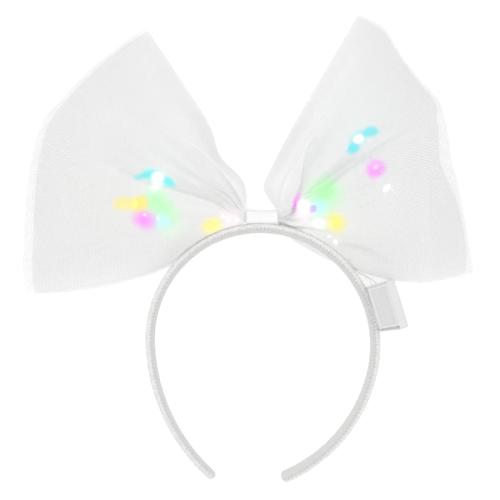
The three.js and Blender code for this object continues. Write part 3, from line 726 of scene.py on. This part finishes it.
def moulded_plastic(name, shade, panel_painted_shade, roughness):
    """White moulded plastic with a faint grain and cloudy shade, painted darker where a panel is sunk, as the
    shade in its recess.
    """
    material, tree, shader, places = start_material(name, roughness)
    cloud = noise_value(tree, places, 70.0, 3.0)
    grain = noise_value(tree, places, 3200.0, 1.0)
    plain = mix_colours(tree, cloud, grey(shade - 0.025), grey(shade + 0.025))
    shaded_panel = mix_colours(tree, cloud, grey(panel_painted_shade - 0.02), grey(panel_painted_shade + 0.02))
    feed(tree, shader.inputs["Base Color"], mix_colours(tree, attribute(tree, "sunk"), plain, shaded_panel))
    feed(tree, shader.inputs["Roughness"], ramp(tree, cloud, 0.3, 0.7, roughness - 0.06, roughness + 0.08))
    feed(tree, shader.inputs["Normal"], bump(tree, grain, 0.00002, 0.5))
    return material


# The covered hoop

def arc_end(start, heading, radius, turn, side):
    """Where an arc from start ends: it bends towards the tips on either side of the crown."""
    chord = 2 * radius * math.sin(turn / 2)
    along = heading - side * turn / 2
    x = start[0] + side * chord * math.cos(along)
    y = start[1] + side * chord * math.sin(along)
    return (x, y), heading - side * turn


def leg_length(arcs):
    return sum(radius * math.radians(sweep) for radius, sweep in arcs)


def hoop_at(distance):
    """The centreline's place and heading at a signed distance from the crown, plus on the right."""
    side = 1 if distance >= 0 else -1
    arcs = RIGHT_ARCS if side > 0 else LEFT_ARCS
    left = abs(distance)
    place = (CROWN_X, CROWN_Y)
    heading = math.radians(CROWN_SLOPE)
    for radius, sweep in arcs:
        whole = radius * math.radians(sweep)
        part = min(left, whole)
        place, heading = arc_end(place, heading, radius, part / radius, side)
        left -= part
    if left > 0:
        place = (place[0] + side * left * math.cos(heading), place[1] + side * left * math.sin(heading))
    return place, heading


def band_height(y):
    return BAND_WIDE / 2 + (y - BAND_TIP_Y) * math.tan(HOOP_TILT)


def rounded_tip(from_end):
    if from_end >= BAND_TIP_ROUND:
        return 1.0
    inward = 1 - max(from_end, 0.0) / BAND_TIP_ROUND
    return math.sqrt(max(1 - inward * inward, 0.0))


def make_band():
    """The hoop's cover, closed round its girth and at its rounded tips."""
    left = leg_length(LEFT_ARCS) + BAND_TIP_ROUND
    right = leg_length(RIGHT_ARCS) + BAND_TIP_ROUND
    bm = cloth_grid(BAND_AROUND, BAND_ALONG, (BAND_GIRTH * MM, (left + right) * MM))
    core = (BAND_WIDE - BAND_THICK) / 2
    half = BAND_THICK / 2 + BAND_PILE / 2
    for vert in bm.verts:
        angle = (vert.co.x + 0.5) * 2 * math.pi
        distance = lerp(-left, right, vert.co.y + 0.5)
        place, heading = hoop_at(distance)
        end = min(distance + left, right - distance)
        slant = BAND_RIB_SLANT * abs(math.sin(angle / 2 - math.pi / 4))
        rib = math.sin(2 * math.pi * (distance / BAND_RIB_PITCH + slant))
        rib_rise = BAND_RIB_DEPTH / 2 * rib * smooth(end / BAND_RIB_FADE)
        scale = rounded_tip(end) * (1 + rib_rise / half)
        sine = math.sin(angle)
        across = half * math.cos(angle) * scale + BAND_PILE / 2
        up = (half * sine + core * math.tanh(BAND_SQUARENESS * sine)) * scale
        twist = RIGHT_TIP_TWIST * clamp(distance / right) ** 2
        turned_across = across * math.cos(twist) + up * math.sin(twist)
        turned_up = up * math.cos(twist) - across * math.sin(twist)
        x = place[0] - math.sin(heading) * turned_across
        y = place[1] + math.cos(heading) * turned_across
        vert.co = placed(x, y, band_height(place[1]) + turned_up)
    close_seams(bm)
    mesh_piece("band_covered", bm, band_cover(), "band")


# The net bow

class Lobe:
    """One half of the bow: where it leaves the knot, its folds and its creases."""

    def __init__(self, name, side, folds, creases):
        self.name = name
        self.side = side
        self.x = KNOT_X + side * (KNOT_LONG / 2 + NET_KNOT_GAP)
        self.y = KNOT_Y
        self.columns = {key: [row[i] for row in folds] for i, key in enumerate(FOLD_COLUMNS)}
        self.creases = [dict(zip(CREASE_COLUMNS, row)) for row in creases]
        self.rows = len(folds)

    def fold(self, share):
        """The fold values at a share of the way from the top edge to the bottom one."""
        position = share * (self.rows - 1)
        values = {key: between_rows(column, position) for key, column in self.columns.items()}
        values["start"] = NET_KNOT_SPREAD * (1 - 2 * share)
        values["sag"] = EDGE_SAG[self.name] * (1 - smooth(share / EDGE_SAG_FOLDS))
        return values


LOBES = (
    Lobe("left", -1, LEFT_FOLDS, LEFT_CREASES),
    Lobe("right", 1, RIGHT_FOLDS, RIGHT_CREASES),
)


def layer_name(inner):
    return "inner" if inner else "outer"


def nose(far, reach, share):
    """Falls from 1 to 0 in a quarter circle over the last share of the reach."""
    into = clamp((far / reach - 1 + share) / share)
    return math.sqrt(1 - into * into)


def front_height(fold, far, reach):
    near = max(far, 0.0) / NET_GATHER_REACH
    gather = NET_GATHER_RISE * fold["gather"] * near * math.exp(1 - near)
    swell = smooth(far / reach / NET_SWELL_SHARE)
    swollen = lerp(KNOT_Z + NET_KNOT_RISE, fold["rise"], swell)
    return lerp(NET_FOLD_RADIUS, swollen + gather, nose(far, reach, NET_NOSE_OUTER))


def inner_front_height(fold, far, reach):
    step = lerp(NET_STEP_AT_KNOT, NET_STEP_OPEN, smooth(far / NET_STEP_REACHED))
    turn_over = NET_BACK_STEP + NET_FOLD_RADIUS
    under = max(front_height(fold, far, fold["reach"]) - step, turn_over)
    return lerp(turn_over, under, nose(far, reach, NET_NOSE_INNER))


def back_height(far, reach):
    turn_up = NET_FOLD_RADIUS * (1 - nose(far, reach, NET_FOLD_RADIUS / reach))
    return lerp(KNOT_Z - NET_KNOT_RISE, 0.0, smooth(far / NET_FLOOR_REACH)) + turn_up


def loop_profile(fold, inner):
    """Points round one fold of a loop: out along the front, round the outer fold and home along the back."""
    reach = fold["reach"] - (fold["inset"] if inner else 0.0)
    share = NET_NOSE_INNER if inner else NET_NOSE_OUTER
    height = inner_front_height if inner else front_height
    lift = NET_BACK_STEP if inner else 0.0
    open_end = reach * (1 - share)
    points = []
    for i in range(PROFILE_FRONT):
        far = lerp(-NET_TAIL, open_end, i / PROFILE_FRONT)
        points.append((far, height(fold, far, reach), True))
    for i in range(PROFILE_NOSE + 1):
        far = open_end + (reach - open_end) * math.sin(math.pi / 2 * i / PROFILE_NOSE)
        points.append((far, height(fold, far, reach), True))
    for i in range(1, PROFILE_FOLD + 1):
        far = reach - NET_FOLD_RADIUS * (1 - math.cos(math.pi / 2 * i / PROFILE_FOLD))
        points.append((far, back_height(far, reach) + lift, False))
    for i in range(1, PROFILE_BACK + 1):
        far = lerp(reach - NET_FOLD_RADIUS, -NET_TAIL, i / PROFILE_BACK)
        points.append((far, back_height(far, reach) + lift, False))
    return points, reach


def evenly_spaced(points, count):
    """Resamples a profile so that its points lie an equal length of cloth apart."""
    lengths = [0.0]
    for (far, z, _), (next_far, next_z, _) in zip(points, points[1:]):
        lengths.append(lengths[-1] + math.hypot(next_far - far, next_z - z))
    even = []
    spot = 0
    for i in range(count + 1):
        target = lengths[-1] * i / count
        while spot < len(points) - 2 and lengths[spot + 1] < target:
            spot += 1
        span = lengths[spot + 1] - lengths[spot]
        t = clamp((target - lengths[spot]) / span) if span else 0.0
        start, end = points[spot], points[spot + 1]
        even.append((lerp(start[0], end[0], t), lerp(start[1], end[1], t), start[2]))
    return even


def fold_place(lobe, fold, inner, far, reach, on_front):
    """X and Y on one fold, before creases."""
    bow = fold["front_bow"] if on_front else fold["back_bow"]
    if far <= 0:
        return Vector((lobe.x + lobe.side * far, lobe.y + fold["start"]))
    share = far / reach
    ends = NET_HEMS[(lobe.name, on_front)] if bow < 0 else NET_PLAIN_EDGE
    swing = bow * hump(share, fold["bow_at"], *ends)
    swing -= fold["sag"] * bell(share - EDGE_SAG_AT, EDGE_SAG_WIDE)
    angle = math.radians(fold["bearing"] + (fold["turn"] if inner else 0.0))
    out = far * math.cos(angle) - swing * math.sin(angle)
    up = far * math.sin(angle) + swing * math.cos(angle) + fold["start"] * (1 - clamp(share))
    return Vector((lobe.x + lobe.side * out, lobe.y + up))


def route_bearing(route, far):
    """The bearing of a crease at a distance from the knot, on a smooth curve through its route."""
    if far <= route[0][0]:
        return route[0][1]
    if far >= route[-1][0]:
        return route[-1][1]
    last = len(route) - 1
    spot = next(i for i in range(last) if far <= route[i + 1][0])
    (start, low), (end, high) = route[spot], route[spot + 1]

    def slope(i):
        before, after = route[max(i - 1, 0)], route[min(i + 1, last)]
        return (after[1] - before[1]) / (after[0] - before[0]) * (end - start)

    return bent_line(low, high, slope(spot), slope(spot + 1), (far - start) / (end - start))


def crease_shift(lobe, far, bearing):
    """How far the creases lift a point of the front and push it sideways, and how much painted shade it gets
    in a crease's hollow.
    """
    lift = 0.0
    push = 0.0
    hollow = 0.0
    for crease in lobe.creases:
        if not crease["start"] < far < crease["end"]:
            continue
        size = smooth((far - crease["start"]) / (crease["peak"] - crease["start"]))
        if far > crease["peak"]:
            past = (far - crease["peak"]) / (crease["end"] - crease["peak"])
            size = lerp(1.0, crease["left_over"], smooth(past))
        offset = math.radians(bearing - route_bearing(crease["route"], far)) * far * crease["raised"]
        tight = lerp(CREASE_TIGHT, 1.0, smooth(far / CREASE_TIGHT_REACH))
        lift_wide, sink_wide = (wide * tight for wide in crease["wide"])
        raised = crease["lift"] * bell(max(offset, 0.0), lift_wide)
        sunk = -crease["sink"] * bell(min(offset, 0.0), sink_wide)
        on_top = smooth(offset / (CREASE_EDGE * tight) + 0.5)
        lift += size * lerp(sunk, raised, on_top)
        # Painted shade, deepest in the hollow on the sunk side of the crease.
        deepest = bell(min(offset, 0.0), sink_wide * CREASE_SHADE_WIDE)
        hollow += size * crease["sink"] * deepest * (1 - on_top)
        if offset > 0:
            push -= size * crease["raised"] * crease["lean"] * bell(offset, lift_wide * CREASE_LEAN_WIDE)
    hollow *= smooth(far / CREASE_SHADE_FROM)
    return lift * CREASE_DEPTH, push * CREASE_DEPTH, clamp(hollow / CREASE_SHADE_FULL_DEPTH)


def roll_painted_shade(far, share):
    """How much painted shade the roll of the upper edge gives a point of the front."""
    fade = (far - ROLL_FADE[0]) / (ROLL_FADE[1] - ROLL_FADE[0])
    return ROLL_PAINTED_SHADE * (1 - smooth(share / ROLL_FOLDS)) * (1 - smooth(fade))


def pleat_height(lobe, far, share, spread):
    """Fine pleats that radiate from the knot and die out over the open cloth."""
    full, gone = PLEAT_FADE
    fade = smooth(far / full) * (1 - smooth((far - full) / (gone - full)))
    along_share, along_far, seed = PLEAT_NOISE
    wander = noise.noise(Vector((share * along_share, far * along_far, seed * lobe.side)))
    wave = math.sin(2 * math.pi * (PLEATS * share + PLEAT_WANDER * wander))
    wide = math.radians(spread) * max(far, 0.0) / PLEATS
    return fade * PLEAT_SLOPE * wide * wave


def soft_swell(lobe, x, y):
    """Slow waves over the open cloth."""
    along_x, along_y, seed = SWELL_NOISE
    return SWELL_RISE * noise.noise(Vector((x * along_x, y * along_y, seed * lobe.side)))


def rim_fold(x):
    return RIM_FOLD_RISE * smooth((x - RIM_FOLD_X) / RIM_FOLD_WIDE)


def gathered_share(far, reach):
    """How far the net closes up towards the knot, where its gathers lie on each other."""
    return (1 - clamp(far / reach)) ** NET_GATHER_POWER


def hoop_points():
    """The band's centreline as points to look up, for tucking the net behind it."""
    left = leg_length(LEFT_ARCS)
    right = leg_length(RIGHT_ARCS)
    tree = kdtree.KDTree(HOOP_POINTS + 1)
    for i in range(HOOP_POINTS + 1):
        (x, y), _ = hoop_at(lerp(-left, right, i / HOOP_POINTS))
        tree.insert((x, y, 0.0), i)
    tree.balance()
    return tree


def beside_band(hoop, x, y):
    """The band's nearest point, and how far outside the band's faces a point of the net is."""
    nearest, _, gap = hoop.find((x, y, 0.0))
    return nearest, max(gap - BAND_THICK / 2, 0.0)


def tuck_painted_shade(lobe, far, clear):
    """How much painted shade a point of the front gets beside the band."""
    begun = (far - NET_TUCK_SHADE_FROM) / (NET_TUCK_SHADE_FULL - NET_TUCK_SHADE_FROM)
    return NET_TUCK_PAINTED_SHADE[lobe.name] * smooth(begun) * (1 - smooth(clear / NET_TUCK_SHADE_WIDE))


def behind_band(nearest, clear, z, drop):
    """Holds a point of the net under the band where the band crosses it, lower by drop for an inner layer."""
    under = band_height(nearest.y) - BAND_WIDE / 2 - NET_TUCK_UNDER - drop
    wall = min(NET_TUCK_STEEP * clear, BAND_WIDE + NET_TUCK_OVER)
    return min(z, under + wall + NET_TUCK_SLOPE * max(clear - wall / NET_TUCK_STEEP, 0.0))


def make_loop(lobe, inner, material):
    """One sheet of net, folded into a loop that is gathered at the knot."""
    flat = NET_FLAT_INNER if inner else NET_FLAT_OUTER
    bm = cloth_grid(NET_ACROSS, NET_ALONG, flat, NET_WEAVE_TURN[inner])
    hoop = hoop_points()
    gathered = bm.verts.layers.float.new("gathered")
    across = bm.verts.layers.float.new("across")
    # Painted shade of crease hollows, the edge roll and the band's side.
    hollow = bm.verts.layers.float.new("hollow")
    spread = lobe.columns["bearing"][0] - lobe.columns["bearing"][-1]
    profiles = {}
    for vert in bm.verts:
        column = round((vert.co.x + 0.5) * NET_ACROSS)
        step = round((vert.co.y + 0.5) * NET_ALONG)
        share = column / NET_ACROSS
        if column not in profiles:
            fold = lobe.fold(share)
            points, reach = loop_profile(fold, inner)
            profiles[column] = (fold, reach, evenly_spaced(points, NET_ALONG))
        fold, reach, points = profiles[column]
        far, z, on_front = points[step]
        place = fold_place(lobe, fold, inner, far, reach, on_front)
        if on_front and far > 0:
            out = lobe.side * (place.x - lobe.x)
            up = place.y - lobe.y
            distance = math.hypot(out, up)
            bearing = math.degrees(math.atan2(up, out))
            open_share = nose(far, reach, NET_NOSE_OUTER)
            # sunk is the painted shade of the crease hollows.
            lift, push, sunk = crease_shift(lobe, distance, bearing)
            z += lift * open_share
            z += (pleat_height(lobe, far, share, spread) + soft_swell(lobe, place.x, place.y)) * open_share
            z += rim_fold(place.x) * open_share
            angle = math.radians(bearing)
            place += Vector((-lobe.side * math.sin(angle), math.cos(angle))) * push * open_share
            nearest, clear = beside_band(hoop, place.x, place.y)
            z = behind_band(nearest, clear, z, NET_STEP_AT_KNOT if inner else 0.0)
            # Painted shade: the deepest of a crease hollow's, the edge roll's and the band side's.
            vert[hollow] = max(sunk, roll_painted_shade(far, share), tuck_painted_shade(lobe, far, clear))
        vert[gathered] = gathered_share(far, reach)
        vert[across] = share
        vert.co = placed(place.x, place.y, max(z, NET_FLOOR_GAP))
    bmesh.ops.recalc_face_normals(bm, faces=bm.faces)
    which = f"{layer_name(inner)}_{lobe.name}"
    piece = mesh_piece(f"net_{which}", bm, material, f"tulle_{which}")


# The satin knot

def squared(value):
    """A sine or cosine pushed outwards, so that a round section becomes a rounded block."""
    return math.copysign(abs(value) ** KNOT_SQUARENESS, value)


def make_knot():
    """The ribbon wrapped round the middle of the bow, with a lap on its front."""
    flat = (KNOT_LONG * MM, KNOT_GIRTH * MM)
    bm = cloth_grid(KNOT_ALONG, KNOT_AROUND, flat)
    for vert in bm.verts:
        share = vert.co.x + 0.5
        angle = (vert.co.y + 0.5) * 2 * math.pi
        across = squared(math.cos(angle))
        up = squared(math.sin(angle))
        ends = (2 * share - 1) ** 2
        all_over, at_ends = KNOT_FLARE_TOP if across > 0 else KNOT_FLARE_FOOT
        flare = all_over + at_ends * ends
        ripple = sum(rise * math.sin(count * angle + slant * share) for rise, count, slant in KNOT_RIPPLES)
        tall = KNOT_TALL / 2 + flare + ripple - KNOT_WALL / 2 - KNOT_IN_TALL
        deep = KNOT_DEEP / 2 + KNOT_FLARE_DEEP * ends + ripple - KNOT_WALL / 2 - KNOT_IN_DEEP
        step = KNOT_LAP * smooth((across + KNOT_LAP_AT) / KNOT_LAP_WIDE) if up > 0 else 0.0
        vert.co = placed(
            KNOT_X + (share - 0.5) * KNOT_LONG,
            KNOT_Y + tall * across,
            KNOT_Z + deep * up + step,
        )
    close_seams(bm)
    piece = mesh_piece("knot_satin", bm, satin(), "knot_ribbon")
    wall = piece.modifiers.new("ribbon_wall", "SOLIDIFY")
    wall.thickness = KNOT_WALL * MM
    wall.offset = 0.0


# The fairy lights

def light_node(side, number):
    return f"led_{side}_{number}"


def light_middle(side, number):
    low, high = (Vector(corner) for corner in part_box(light_node(side, number)))
    return (low + high) / 2


def smooth_route(points, step):
    """Even points along a smooth curve through the given ones."""
    ends = [points[0] * 2 - points[1], *points, points[-1] * 2 - points[-2]]
    route = []
    for before, start, end, after in zip(ends, ends[1:], ends[2:], ends[3:]):
        loose = (end - start).length
        pieces = max(int(loose / step), 1)
        slope_in = ((end - before) / max((end - before).length, 1e-9)) * loose
        slope_out = ((after - start) / max((after - start).length, 1e-9)) * loose
        for i in range(pieces):
            route.append(bent_line(start, end, slope_in, slope_out, i / pieces))
    route.append(points[-1])
    return route


def mouth_points(offset, depths):
    """Where a wire enters the top of the battery box."""
    points = []
    for depth in depths:
        across = offset - (CASE_WIDE + LID_WIDE + LID_GAP) / 2
        along = BOX_LONG / 2 - depth
        x = BOX_X + across * math.cos(BOX_LEAN) - along * math.sin(BOX_LEAN)
        y = BOX_Y + across * math.sin(BOX_LEAN) + along * math.cos(BOX_LEAN)
        points.append(placed(x, y, MOUTH_HEIGHT))
    return points


def string_points():
    """The string's way through the left lights, the knot and the right lights to the battery box."""
    lights = [light_middle("left", i + 1) for i in range(len(LIGHT_COLOURS["left"]))]
    lights += [placed(KNOT_X + end * KNOT_LONG / 2, KNOT_Y, KNOT_Z) for end in (-1, 1)]
    lights += [light_middle("right", i + 1) for i in range(len(LIGHT_COLOURS["right"]))]
    tail = [placed(*point) for point in STRING_TAIL]
    return lights + tail + mouth_points(*STRING_MOUTH)


def lead_points():
    return [placed(*point) for point in LEAD_ROUTE] + mouth_points(*LEAD_MOUTH)


def make_twisted_wire(name, points, node, material):
    """Two fine strands twisted round each other along a route."""
    route = smooth_route(points, WIRE_STEP * MM)
    curve = bpy.data.curves.new(name, "CURVE")
    curve.dimensions = "3D"
    curve.bevel_depth = WIRE_STRAND / 2 * MM
    curve.bevel_resolution = 1
    curve.use_fill_caps = True
    for strand in (0.0, math.pi):
        spline = curve.splines.new("POLY")
        spline.points.add(len(route) - 1)
        turn = strand
        for i, point in enumerate(route):
            ahead = route[min(i + 1, len(route) - 1)] - route[max(i - 1, 0)]
            sideways = ahead.orthogonal().normalized()
            turn += 2 * math.pi * WIRE_STEP / WIRE_TWIST_PITCH
            offset = Matrix.Rotation(turn, 3, ahead.normalized()) @ sideways * (WIRE_STRAND / 2 * MM)
            spline.points[i].co = (*(point + offset), 1.0)
    add_piece(name, curve, material, node)


def make_light(side, number, along, material):
    """A resin drop on the wire, a little fuller towards one end."""
    bm = bmesh.new()
    bmesh.ops.create_uvsphere(bm, u_segments=LIGHT_SEGMENTS, v_segments=LIGHT_RINGS, radius=0.5)
    for vert in bm.verts:
        fuller = 1 + LIGHT_FULLER * vert.co.z
        vert.co.x *= LIGHT_DIAMETER * MM * fuller
        vert.co.y *= LIGHT_DIAMETER * MM * fuller
        vert.co.z *= LIGHT_LONG * MM
    turn = along.to_track_quat("Z", "Y").to_matrix().to_4x4()
    bmesh.ops.transform(bm, matrix=Matrix.Translation(light_middle(side, number)) @ turn, verts=bm.verts)
    mesh_piece(f"light_{side}_{number}", bm, material, light_node(side, number))


def make_lights():
    resins = {}
    for side, colours in LIGHT_COLOURS.items():
        middles = [light_middle(side, i + 1) for i in range(len(colours))]
        for i, colour in enumerate(colours):
            if colour not in resins:
                resins[colour] = light_resin(colour)
            along = middles[min(i + 1, len(middles) - 1)] - middles[max(i - 1, 0)]
            make_light(side, i + 1, along, resins[colour])


# The battery box

def box_block(bm, x_span, y_span, z_span, edge, segments=3, flat_x=None):
    """A block in the box's own directions. Its edges are rounded, except round a face at flat_x."""
    made = bmesh.ops.create_cube(bm, size=1.0)
    spans = (x_span, y_span, z_span)
    size = Matrix.Diagonal((*(high - low for low, high in spans), 1.0))
    middle = Matrix.Translation([(low + high) / 2 for low, high in spans])
    bmesh.ops.transform(bm, matrix=middle @ size, verts=made["verts"])
    edges = {linked for vert in made["verts"] for linked in vert.link_edges}
    if flat_x is not None:
        edges = {linked for linked in edges if any(abs(vert.co.x - flat_x) > 1e-4 for vert in linked.verts)}
    bmesh.ops.bevel(
        bm,
        geom=list(edges),
        offset=edge,
        offset_type="OFFSET",
        segments=segments,
        profile=0.5,
        material=-1,
        affect="EDGES",
    )
    bm.normal_update()


def sink_panel(bm, direction, border, slope, depth, open_x=None):
    """Insets the largest face that looks in a direction and sinks it, open towards the side at open_x."""
    sunk = bm.verts.layers.float["sunk"]
    faces = [face for face in bm.faces if face.normal.dot(direction) > 0.99]
    face = max(faces, key=lambda candidate: candidate.calc_area())
    bmesh.ops.inset_region(bm, faces=[face], thickness=border, use_even_offset=True)
    bmesh.ops.inset_region(bm, faces=[face], thickness=slope, depth=-depth, use_even_offset=True)
    middle = face.calc_center_median().x
    for vert in face.verts:
        # Marks the sunk panel for its painted shade.
        vert[sunk] = 1.0
        if open_x is not None and vert.co.x > middle:
            vert.co.x = open_x - border / 4


def stand_box(bm):
    lean = Matrix.Rotation(BOX_LEAN, 4, "Z")
    where = Matrix.Translation(placed(BOX_X, BOX_Y, 0.0))
    bmesh.ops.transform(bm, matrix=where @ lean @ Matrix.Scale(MM, 4), verts=bm.verts)


def make_battery_case():
    """A body between two end flanges, with a sunk panel on its front and back."""
    left = -(CASE_WIDE + LID_WIDE + LID_GAP) / 2 - CASE_FOOT
    right = left + CASE_FOOT + CASE_WIDE
    top, foot = BOX_LONG / 2, -BOX_LONG / 2
    body_top = top - CASE_FLANGE - CASE_GROOVE_TOP
    body_foot = foot + CASE_FLANGE + CASE_GROOVE_FOOT
    bm = bmesh.new()
    bm.verts.layers.float.new("sunk")
    box_block(bm, (left, right), (body_foot, body_top), (0.0, BOX_DEEP), CASE_EDGE, 3, right)
    for direction in (Vector((0, 0, 1)), Vector((0, 0, -1))):
        sink_panel(bm, direction, *CASE_PANEL, right)
    for span in ((top - CASE_FLANGE, top), (foot, foot + CASE_FLANGE)):
        box_block(bm, (left, right), span, (0.0, BOX_DEEP), CASE_EDGE, 3, right)
    top_core = (body_top - CASE_FLANGE, top - CASE_FLANGE / 2)
    foot_core = (foot + CASE_FLANGE / 2, body_foot + CASE_FLANGE)
    for span, deep in ((top_core, CASE_GROOVE_TOP_DEEP), (foot_core, CASE_GROOVE_FOOT_DEEP)):
        box_block(bm, (left + deep, right), span, (deep, BOX_DEEP - deep), CASE_EDGE / 2, 1, right)
    saddle = (left - CASE_SADDLE, left + CASE_FLANGE)
    box_block(bm, saddle, (body_foot, top), (CASE_SADDLE_LOW, CASE_SADDLE_HIGH), CASE_EDGE)
    for vert in bm.verts:
        vert.co.y += CASE_FOOT_SLANT * (right - vert.co.x) / CASE_WIDE * clamp(-vert.co.y / top) ** 2
    stand_box(bm)
    plastic = moulded_plastic("case_plastic", *CASE_PLASTIC)
    mesh_piece("battery_case_body", bm, plastic, "battery_case", False)


def make_battery_lid():
    """A rounded cover that closes right up to the case, with a sunk panel on its outer side."""
    left = (CASE_WIDE - LID_WIDE - LID_GAP) / 2 + LID_SEAT
    right = left + LID_WIDE + LID_GAP - LID_SEAT
    half = BOX_LONG / 2 - LID_SHORTER
    bm = bmesh.new()
    bm.verts.layers.float.new("sunk")
    box_block(bm, (left, right), (-half, half), (0.0, BOX_DEEP), LID_EDGE, 5, left)
    sink_panel(bm, Vector((1, 0, 0)), *LID_PANEL)
    stand_box(bm)
    plastic = moulded_plastic("lid_plastic", *LID_PLASTIC)
    mesh_piece("battery_lid_cover", bm, plastic, "battery_lid", False)


# Studio

def make_floor():
    bm = bmesh.new()
    bmesh.ops.create_grid(bm, x_segments=1, y_segments=1, size=FLOOR_SIZE)
    mesh = bpy.data.meshes.new("floor")
    bm.to_mesh(mesh)
    bm.free()
    floor = bpy.data.objects.new("floor", mesh)
    bpy.context.scene.collection.objects.link(floor)
    material, tree, shader, places = start_material("floor_white", 0.9)
    cloud = noise_value(tree, places, 2.0, 1.0)
    dull, bright = (grey(shade) for shade in FLOOR_SHADES)
    feed(tree, shader.inputs["Base Color"], mix_colours(tree, cloud, dull, bright))
    shader.inputs["Emission Color"].default_value = grey(1.0)
    shader.inputs["Emission Strength"].default_value = FLOOR_GLOW
    mesh.materials.append(material)


def make_lamp(name, place, size, watts):
    lamp = bpy.data.lights.new(name, "AREA")
    lamp.size = size
    lamp.energy = watts
    lamp_object = bpy.data.objects.new(name, lamp)
    lamp_object.location = place
    lamp_object.rotation_mode = "QUATERNION"
    lamp_object.rotation_quaternion = (-Vector(place)).to_track_quat("-Z", "Y")
    lamp_object.visible_camera = False
    bpy.context.scene.collection.objects.link(lamp_object)


def make_studio():
    scene = bpy.context.scene
    world = bpy.data.worlds.new("soft_white_room")
    world.use_nodes = True
    room = world.node_tree.nodes["Background"]
    room.inputs["Color"].default_value = grey(1.0)
    room.inputs["Strength"].default_value = ROOM_BRIGHTNESS
    scene.world = world
    for name, (place, size, watts) in LAMPS.items():
        make_lamp(name, place, size, watts)
    scene.view_settings.view_transform = "Standard"
    make_floor()


def make_camera():
    data = bpy.data.cameras.new("camera")
    data.sensor_width = SENSOR_WIDTH
    data.lens = SENSOR_WIDTH * (CAMERA_HEIGHT - MEASURED_HEIGHT) / FRAME_WIDTH
    data.clip_end = CAMERA_SEES
    camera = bpy.data.objects.new("camera", data)
    camera.location = placed(0.0, 0.0, CAMERA_HEIGHT)
    bpy.context.scene.collection.objects.link(camera)
    bpy.context.scene.camera = camera


make_camera()
make_studio()
make_band()
for lobe in LOBES:
    make_loop(lobe, False, net(lobe.name, False))
    make_loop(lobe, True, net(lobe.name, True))
make_knot()
wire = wire_enamel()
make_twisted_wire("string_wire", string_points(), "light_string", wire)
make_twisted_wire("lead_wire_pair", lead_points(), "lead_wire", wire)
make_lights()
make_battery_case()
make_battery_lid()
